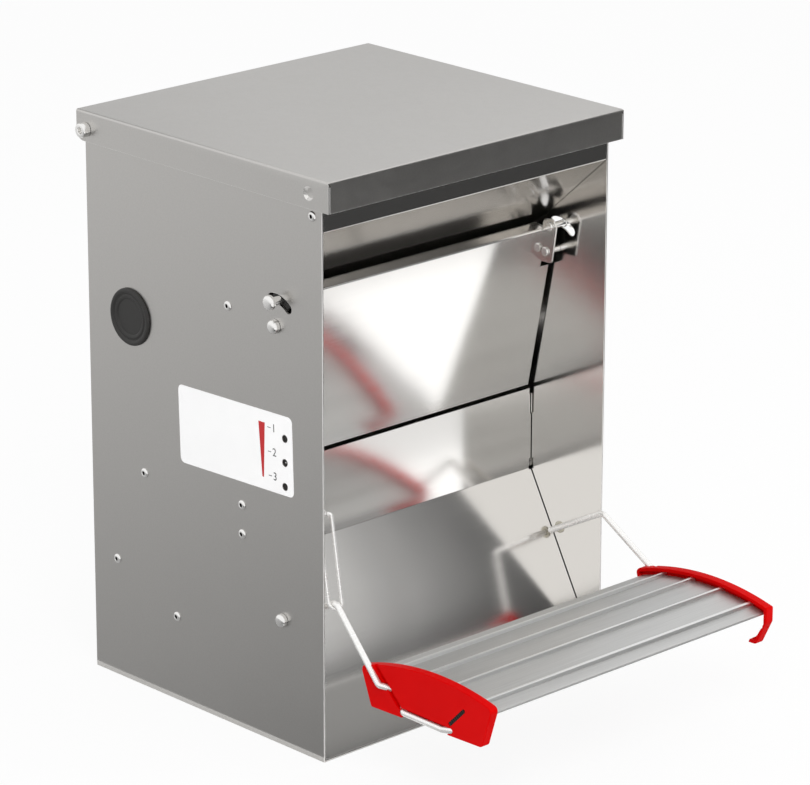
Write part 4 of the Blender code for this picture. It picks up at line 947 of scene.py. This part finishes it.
def platform_section():
    """The platform's side view: ribbed along the top, plain underneath."""
    low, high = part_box("treadle_platform")
    rear = high.y / MM + DEPTH / 2
    front = low.y / MM + DEPTH / 2 + FRONT_TRIM
    print("platform from y", round(rear, 1), "to", round(front, 1))
    spread = [rear + (front - rear) * i / SECTION_STEPS for i in range(SECTION_STEPS + 1)]
    top = [(y, arc_height(y, SURFACE)) for y in spread if not by_rib(y, 0.7)]
    for mark in RIB_MARKS:
        for offset, inset in RIB_STEPS:
            y = mark + offset * RIB_WIDTH
            top.append((y, arc_height(y, inset)))
    top.sort(key=lambda point: -point[0])
    return top + [(y, arc_height(y, UNDERSIDE)) for y in reversed(spread)]


def platform_shape():
    """The extrusion, with a painted highlight on its ribs' tops and fronts and a painted shade behind."""
    shape = extruded(platform_section(), PLATFORM_END, WIDTH - PLATFORM_END)
    for face in shape.faces:
        faces_up_or_front = face.normal.z > 0.5 or face.normal.y < -0.5
        if faces_up_or_front and by_rib(middle_y(face), 0.51):
            face.material_index = RIB_HIGHLIGHT_INDEX
    for face in break_edges(shape, 0.7, 20, 3):
        if by_rib(middle_y(face), 0.8):
            face.material_index = RIB_SHADE_INDEX if face.normal.y > 0.1 else RIB_HIGHLIGHT_INDEX
    return shape


platform = platform_shape()
rib_painted_light = [RIB_HIGHLIGHT, SHADE_LINE]
stand_in("treadle_platform_extruded", platform, ALUMINIUM, ["treadle_platform"], rib_painted_light)

# %% [markdown]
# ## The red end caps
# A moulded cap closes each end of the platform. It is drawn out from its outline and
# its corners are rounded, then the hollow, the wire's channels and a narrow slot are
# cut with Booleans. The right cap is the left one mirrored, except in front: there its
# outline bulges, it has no slot, and low down its wall is cut away in a curve that
# leaves a leg with a short toe.

# %% End caps
CAP_OUTER = -2
CAP_INNER = 6.5
CAP_OUTER_WALL = 4.8
CAP_REAR_TOP = -47
CAP_FRONT_TOP = -200.6
CAP_REAR_FOOT = (-59.6, 69.7)
CAP_FRONT_FOOT = (-189.5, 73.4)
ARC_POINTS = 31
BULGE_DROP = 12.9
WIRE_CLEARANCE = 0.3
CAP_ENTRY_Y = -45
ARM_CHANNEL = ((-62, 110.5), (-93, 80), 4.6, 2.6)
REBATE = [(-95.5, 60), (-95.5, 79.6), (-149.5, 79.2), (-151, 60)]
REBATE_DEPTH = 3.4
SLOT_ENDS = ((-152.4, 82.5), (-168.4, 98.7))
SLOT_WIDTH = 3.4
SLOT_DEPTH = 3
OPENING_START = (-135, 72)
OPENING_LENGTH = 59.5
OPENING_RISE = 32
TOE = [(-196.4, 91), (-185, 77.6), (-182.4, 76.6), (-181, 73), (-180, 60), (-135, 60)]


def cap_outline(inset, side):
    """The cap's side view in (y, z), or the same some way inside it."""
    rise = inset * 1.02
    rear_foot = (CAP_REAR_FOOT[0] - inset * 0.7, CAP_REAR_FOOT[1] + rise)
    front_foot = (CAP_FRONT_FOOT[0] + inset * 0.7, CAP_FRONT_FOOT[1] + rise)
    rear_top = CAP_REAR_TOP - inset * 1.25
    front_top = CAP_FRONT_TOP + inset * 1.1
    spread = [rear_top] + [rear_top - 9 - 4.6 * i for i in range(ARC_POINTS)] + [front_top]
    arc = [(y, arc_height(y, inset)) for y in spread if y >= front_top + 7 or y == front_top]
    softer = max(0.4, 1 - inset / CAP_WALL * 0.5)
    front = [arc.pop()]
    front_radii = [4.5 * softer, 4 * softer]
    if side == "right":
        front.append((front_top, front[0][1] - BULGE_DROP))
        front_radii = [1.6 * softer, 3 * softer, 4 * softer]
    points = [(0, y, z) for y, z in [rear_foot] + arc + front + [front_foot]]
    radii = [2, 5 * softer] + [0] * (len(arc) - 1) + front_radii
    ring = [points[-1]] + points + [points[0]]
    line = bent_line(ring, [0] + radii + [0], 6)[1:-1]
    return [(p.y, p.z) for p in line]


def front_opening():
    """What is cut from the right cap's front wall, in side view."""
    curve = []
    for i in range(13):
        y = OPENING_START[0] - OPENING_LENGTH * i / 12
        z = OPENING_START[1] + OPENING_RISE * math.sin(math.pi / 2 * i / 12)
        curve.append((y, min(z, arc_height(y, UNDERSIDE) - 0.6)))
    return curve + TOE


def cut_away(piece, shape):
    """Cuts a shape from a piece; the cutter goes when its mesh is removed."""
    cutter = object_of("cutter", shape)
    boolean = piece.modifiers.new("cut", "BOOLEAN")
    boolean.operation = "DIFFERENCE"
    boolean.solver = "EXACT"
    boolean.object = cutter
    result = settled_mesh(piece)
    piece.modifiers.clear()
    piece.data = result
    bpy.data.meshes.remove(cutter.data)


def channel(start, end, width, depth):
    """A straight round-ended channel in the cap's outer face."""
    first, last = Vector(start), Vector(end)
    onward = (last - first).normalized()
    sideways = onward.orthogonal()
    quarter = math.pi / 2
    outline = arc_line(last, onward, sideways, width / 2, -quarter, quarter, 8)
    outline += arc_line(first, -onward, -sideways, width / 2, -quarter, quarter, 8)
    return extruded(outline, CAP_OUTER - 1, CAP_OUTER + depth)


def solid_cap(side):
    """A cap as it stands on the left, still solid, with its outer corners rounded."""
    shape = extruded(cap_outline(0, side), CAP_OUTER, CAP_INNER)
    corners = [e for e in shape.edges if e.calc_face_angle(0) > math.radians(50)]
    bevelled(shape, corners, 0.7 * MM, 3)
    return shape


def cap_cutters(side):
    """What is cut from a cap as it stands on the left."""
    inside_y = [p for p in arm_lines[side] if p.y < CAP_ENTRY_Y]
    cutters = [
        extruded(cap_outline(CAP_WALL, side), CAP_OUTER + CAP_OUTER_WALL, CAP_INNER + 1),
        wire_shape(inside_y, ARM_RADIUS + WIRE_CLEARANCE, False, 5),
        channel(*ARM_CHANNEL),
        extruded(REBATE, CAP_OUTER - 1, CAP_OUTER + 1 + REBATE_DEPTH),
    ]
    if side == "right":
        return cutters + [extruded(front_opening(), CAP_OUTER - 1, CAP_INNER + 1)]
    return cutters + [channel(*SLOT_ENDS, SLOT_WIDTH, SLOT_DEPTH)]


for side in SIDES:
    node = "treadle_cap_" + side
    cutters = cap_cutters(side)
    body = handed(solid_cap(side), side)
    cap = stand_in(node + "_moulded", body, RED_PLASTIC, [node])
    for shape in cutters:
        cut_away(cap, handed(shape, side))
    cap.data.shade_smooth()
    cap.data.set_sharp_from_angle(angle=math.radians(30))
    weigh_normals(cap)
    print(cap.name, "faces", len(cap.data.polygons))

# %% Black insert in the left cap's slot
INSERT_RIBS = 9


def slot_insert():
    """A black strip with fine cross ribs that fills the left cap's slot."""
    first, last = Vector(SLOT_ENDS[0]), Vector(SLOT_ENDS[1])
    half = (last - first).normalized().orthogonal() * (SLOT_WIDTH / 2 - 0.05)
    count = 2 * INSERT_RIBS - 1
    step = (last - first) / count
    ribs = []
    for i in range(count):
        start, end = first + step * i, first + step * (i + 1)
        outline = (start - half, end - half, end + half, start + half)
        top = CAP_OUTER + (0.15 if i % 2 == 0 else 0.9)
        ribs.append(extruded(outline, top, CAP_OUTER + SLOT_DEPTH - 0.02))
    shape = joined(ribs)
    weld(shape, 0.001 * MM)
    return shape


put_in_scene("cap_slot_insert", slot_insert(), BLACK_PLASTIC, "treadle")
print("insert ribs:", INSERT_RIBS)

# %% [markdown]
# ## The label
# A white vinyl label on the left panel numbers the spring's three settings beside its
# holes, and a wedge grows from light to heavy. All of it is drawn flat in millimetres,
# across and up from the label's middle.

# %% Label
LABEL_CENTRE = (108.4, 258)
LABEL_WIDTH = 143.5
LABEL_HEIGHT = 69.3
LABEL_CORNER = 5
LABEL_THICKNESS = 0.12
LABEL_TILT = math.radians(1.8)
HOLE_RADIUS = 3.5


def on_label(name, shape, rise, ink):
    """Lays a flat drawing on the label, at a rise off the panel."""
    for v in shape.verts:
        across_mm, up_mm, out_mm = v.co
        y = LABEL_CENTRE[0] - across_mm * math.cos(LABEL_TILT) + up_mm * math.sin(LABEL_TILT)
        z = LABEL_CENTRE[1] + across_mm * math.sin(LABEL_TILT) + up_mm * math.cos(LABEL_TILT)
        v.co = at(-rise - out_mm, y, z)
    face_out(shape)
    return put_in_scene(name, shape, ink, "housing")


def label_sheet():
    shape = bmesh.new()
    bmesh.ops.create_grid(shape, x_segments=1, y_segments=1, size=0.5)
    scale(shape, (LABEL_WIDTH, LABEL_HEIGHT, 1))
    bevelled(shape, shape.verts[:], LABEL_CORNER, 8, "VERTICES")
    bmesh.ops.solidify(shape, geom=shape.faces[:], thickness=LABEL_THICKNESS)
    low = min(v.co.z for v in shape.verts)
    move(shape, (0, 0, -low))
    return shape


label = on_label("setting_label", label_sheet(), 0.02, LABEL_FILM)
HOLE_SECTION = [(0, -2), (HOLE_RADIUS, -2), (HOLE_RADIUS, 2), (0, 2)]
for z in ADJUSTER_HOLES:
    cut_away(label, turned(HOLE_SECTION, at(0, ADJUSTER_Y, z), LEFT, 40))
label.data.shade_flat()
print("label faces:", len(label.data.polygons))

# %% Numbers, wedge and ticks on the label
NUMBER_HEIGHT = 10
NUMBER_ACROSS = 49
WEDGE = [(30, 24), (38, 24), (35, -24), (33, -24)]
TICK_ACROSS = (41, 45)
TICK_HALF = 0.3


def number_shape(figure, up_mm):
    curve = bpy.data.curves.new("label_number_" + figure, "FONT")
    curve.body = figure
    curve.size = NUMBER_HEIGHT
    curve.extrude = 0.01
    curve.align_x = "CENTER"
    curve.align_y = "CENTER"
    shape = shape_of(curve, 0.001)
    move(shape, (NUMBER_ACROSS, up_mm, 0))
    return shape


def print_patch(name, outline, ink):
    shape = swept([(across_mm, up_mm, 0) for across_mm, up_mm in outline], (0, 0, 0.02))
    return on_label(name, shape, 0.15, ink)


for figure, z in zip("321", ADJUSTER_HOLES):
    on_label("label_number_" + figure, number_shape(figure, z - SPRING_HOLE), 0.16, DARK_INK)
print_patch("label_wedge", WEDGE, RED_INK)
near, far = TICK_ACROSS
for i in range(3):
    low, high = HOLE_PITCH * (1 - i) - TICK_HALF, HOLE_PITCH * (1 - i) + TICK_HALF
    tick = [(near, low), (far, low), (far, high), (near, high)]
    print_patch("label_tick_" + str(i), tick, DARK_INK)
print("label prints: 3 numbers, a wedge and 3 ticks")

# %% [markdown]
# ## Studio
# The camera and the metal see the surround as white. The floor glows, nearly white to
# the camera and less so in the metal, but part of its light comes from the lamps, so
# that it keeps the feeder's shadow. Photographers shade or brighten single faces of
# bright metal with cards out of frame, and so does this scene: the cards show only in
# reflections.

# %% Floor
def level(x_span, y_span, z):
    """The corners of a level rectangle."""
    (x0, x1), (y0, y1) = x_span, y_span
    return [(x0, y0, z), (x1, y0, z), (x1, y1, z), (x0, y1, z)]


def stage_piece(name, corners, finish):
    shape = bmesh.new()
    shape.faces.new([shape.verts.new(Vector(c) * MM) for c in corners])
    made = object_of(name, shape, finish)
    return made


def seen_by(tree, *kinds):
    """1 for the kinds of ray that are named, 0 for the rest."""
    rays = add_node(tree, "LightPath").outputs
    seen = rays[kinds[0]]
    for kind in kinds[1:]:
        seen = add_node(tree, "Math", {0: seen, 1: rays[kind]}, operation="MAXIMUM").outputs[0]
    return seen


def floor_paint():
    made = new_finish("white_studio_floor", "#F2F2F2", 0.0, 0.9)[0]
    tree = made.node_tree
    glow = add_node(tree, "Emission", {"Color": linear("#FFFFFF"), "Strength": 1.0})
    direct = multiply_add(seen_by(tree, "Is Camera Ray", "Is Transmission Ray"), 0.9, 0.0)
    share = multiply_add(seen_by(tree, "Is Glossy Ray"), 0.35, direct)
    layers = {0: share, 1: tree.nodes["Principled BSDF"].outputs[0], 2: glow.outputs[0]}
    mixed = add_node(tree, "MixShader", layers)
    set_inputs(tree.nodes["Material Output"], {"Surface": mixed.outputs[0]})
    return made


FLOOR_SPAN = (-9000, 9000)
stage_piece("studio_floor", level(FLOOR_SPAN, FLOOR_SPAN, 0), floor_paint())
print("floor:", FLOOR_SPAN)

# %% Cards that only reflections see
CARD_RISE = 4


def card_paint(name, near, far=None, start=0, end=0, axis="X", curve=1.0):
    """A card's shade, or a change from one to another along an axis, in mm."""
    made = bpy.data.materials.new(name)
    made.use_nodes = True
    tree = made.node_tree
    tree.nodes.clear()
    shade = near
    if far is not None:
        place = add_node(tree, "TexCoord").outputs["Object"]
        along = add_node(tree, "SeparateXYZ", {0: place}).outputs[axis]
        span = {"Value": along, "From Min": start * MM, "From Max": end * MM}
        share = add_node(tree, "MapRange", span).outputs[0]
        bent = add_node(tree, "Math", {0: share, 1: curve}, operation="POWER")
        shade = multiply_add(bent.outputs[0], far - near, near)
    glow = add_node(tree, "Emission", {"Strength": shade})
    add_node(tree, "OutputMaterial", {"Surface": glow.outputs[0]})
    return made


def card(name, corners, *shades):
    made = stage_piece(name, corners, card_paint(name + "_paint", *shades))
    for ray in ("camera", "diffuse", "shadow", "transmission"):
        setattr(made, "visible_" + ray, False)


def lying_card(name, x_span, y_span, *shades):
    card(name, level(x_span, y_span, CARD_RISE), *shades)


def standing_card(name, x_span, y, z_span, *shades):
    (x0, x1), (z0, z1) = x_span, z_span
    card(name, [(x0, y, z0), (x1, y, z0), (x1, y, z1), (x0, y, z1)], *shades)


# In front on the right the floor darkens away from the feeder, and dark cards stand low
# down: the lid's skirt, the fascia and the slope see them. A high one that darkens to
# its right shades the door, the lip and the lower front panel.
lying_card("card_floor_front_right", (150, 3600), (-640, -3600), 0.4, 0.05, -640, -1000, "Y")
standing_card("card_low_front_right", (150, 4200), -1900, (CARD_RISE, 560), 0.05)
standing_card("card_middle_front_right", (700, 4200), -1500, (560, 835), 0.05)
standing_card("card_high_front_right", (900, 4200), -1500, (835, 1700), 1.0, 0.12, 1040, 1480)

# The treadle and the housing shade the floor in front, and beside that it is bright.
lying_card("card_floor_treadle", (-520, 325), (-215, -370), 0.12, 0.5, -450, -50)
lying_card("card_floor_housing", (-520, 325), (-152, -215), 0.1, 0.85, -400, -150)
SHADOW_EDGE = [(-520, -370), (325, -370), (325, -446), (-120, -446), (-200, -500), (-520, -500)]
card("card_floor_treadle_front", [(x, y, CARD_RISE) for x, y in SHADOW_EDGE], 0.06)
lying_card("card_floor_bright", (330, 760), (-240, -462), 1.4)
lying_card("card_floor_bright_front", (330, 760), (-462, -600), 0.92)

# The floor on the left darkens towards the front, where the left panel's lower corner
# looks. Behind on the right a low card darkens to its right and an upper one brightens.
lying_card("card_floor_left", (-166, -2200), (-450, 2600), 0.0, 0.76, -450, 1500, "Y", 0.5)
standing_card("card_back_right", (-200, 4200), 1500, (1000, 2600), 0.46, 1.02, 400, 1850)
standing_card("card_back_right_low", (-200, 4200), 1500, (60, 1000), 0.75, 0.15, 1200, 1900)

# %% Lamps and surround
LAMP_TARGET = Vector((0, 0, 0.25))


def soft_box(name, place, size, watts):
    """A square area lamp aimed at the feeder, hidden from camera and reflections."""
    lamp = bpy.data.lights.new(name, "AREA")
    lamp.shape = "RECTANGLE"
    lamp.size = size
    lamp.size_y = size
    lamp.energy = watts
    made = bpy.data.objects.new(name, lamp)
    made.location = place
    made.rotation_euler = (LAMP_TARGET - Vector(place)).to_track_quat("-Z", "Y").to_euler()
    made.visible_camera = False
    made.visible_glossy = False
    bpy.context.scene.collection.objects.link(made)


soft_box("key_box", (-1.6, -2.2, 2.6), 1.6, 55)
soft_box("fill_box", (2.4, -1.6, 1.8), 1.8, 25)

world = bpy.data.worlds.new("white_surround")
world.use_nodes = True
tree = world.node_tree
tree.nodes.clear()
ambient = add_node(tree, "Background", {"Color": linear("#FFFFFF"), "Strength": 0.72})
white = add_node(tree, "Background", {"Color": linear("#FFFFFF"), "Strength": 1.0})
plainly_seen = seen_by(tree, "Is Camera Ray", "Is Glossy Ray", "Is Transmission Ray")
mixed = add_node(tree, "MixShader", {0: plainly_seen, 1: ambient.outputs[0], 2: white.outputs[0]})
add_node(tree, "OutputWorld", {"Surface": mixed.outputs[0]})
bpy.context.scene.world = world
bpy.context.scene.view_settings.view_transform = "Standard"
print("lamps:", len(bpy.data.lights))

# %% [markdown]
# ## Camera
# The camera stands far off with a long lens, as for a catalogue picture. Its place was
# solved from the photograph's straight edges.

# %% Camera
SENSOR_WIDTH = 36
FOCAL_LENGTH = 191.602
CAMERA_PLACE = (-2.39733874, -2.60688654, 1.43986102)
CAMERA_TURN = (71.46517983, -0.10684364, -43.36555749)

lens = bpy.data.cameras.new("photo_camera")
lens.sensor_width = SENSOR_WIDTH
lens.lens = FOCAL_LENGTH
camera = bpy.data.objects.new("photo_camera", lens)
camera.location = CAMERA_PLACE
camera.rotation_euler = [math.radians(a) for a in CAMERA_TURN]
bpy.context.scene.collection.objects.link(camera)
bpy.context.scene.camera = camera
print("camera:", round(camera.location.length, 2), "m from the origin")
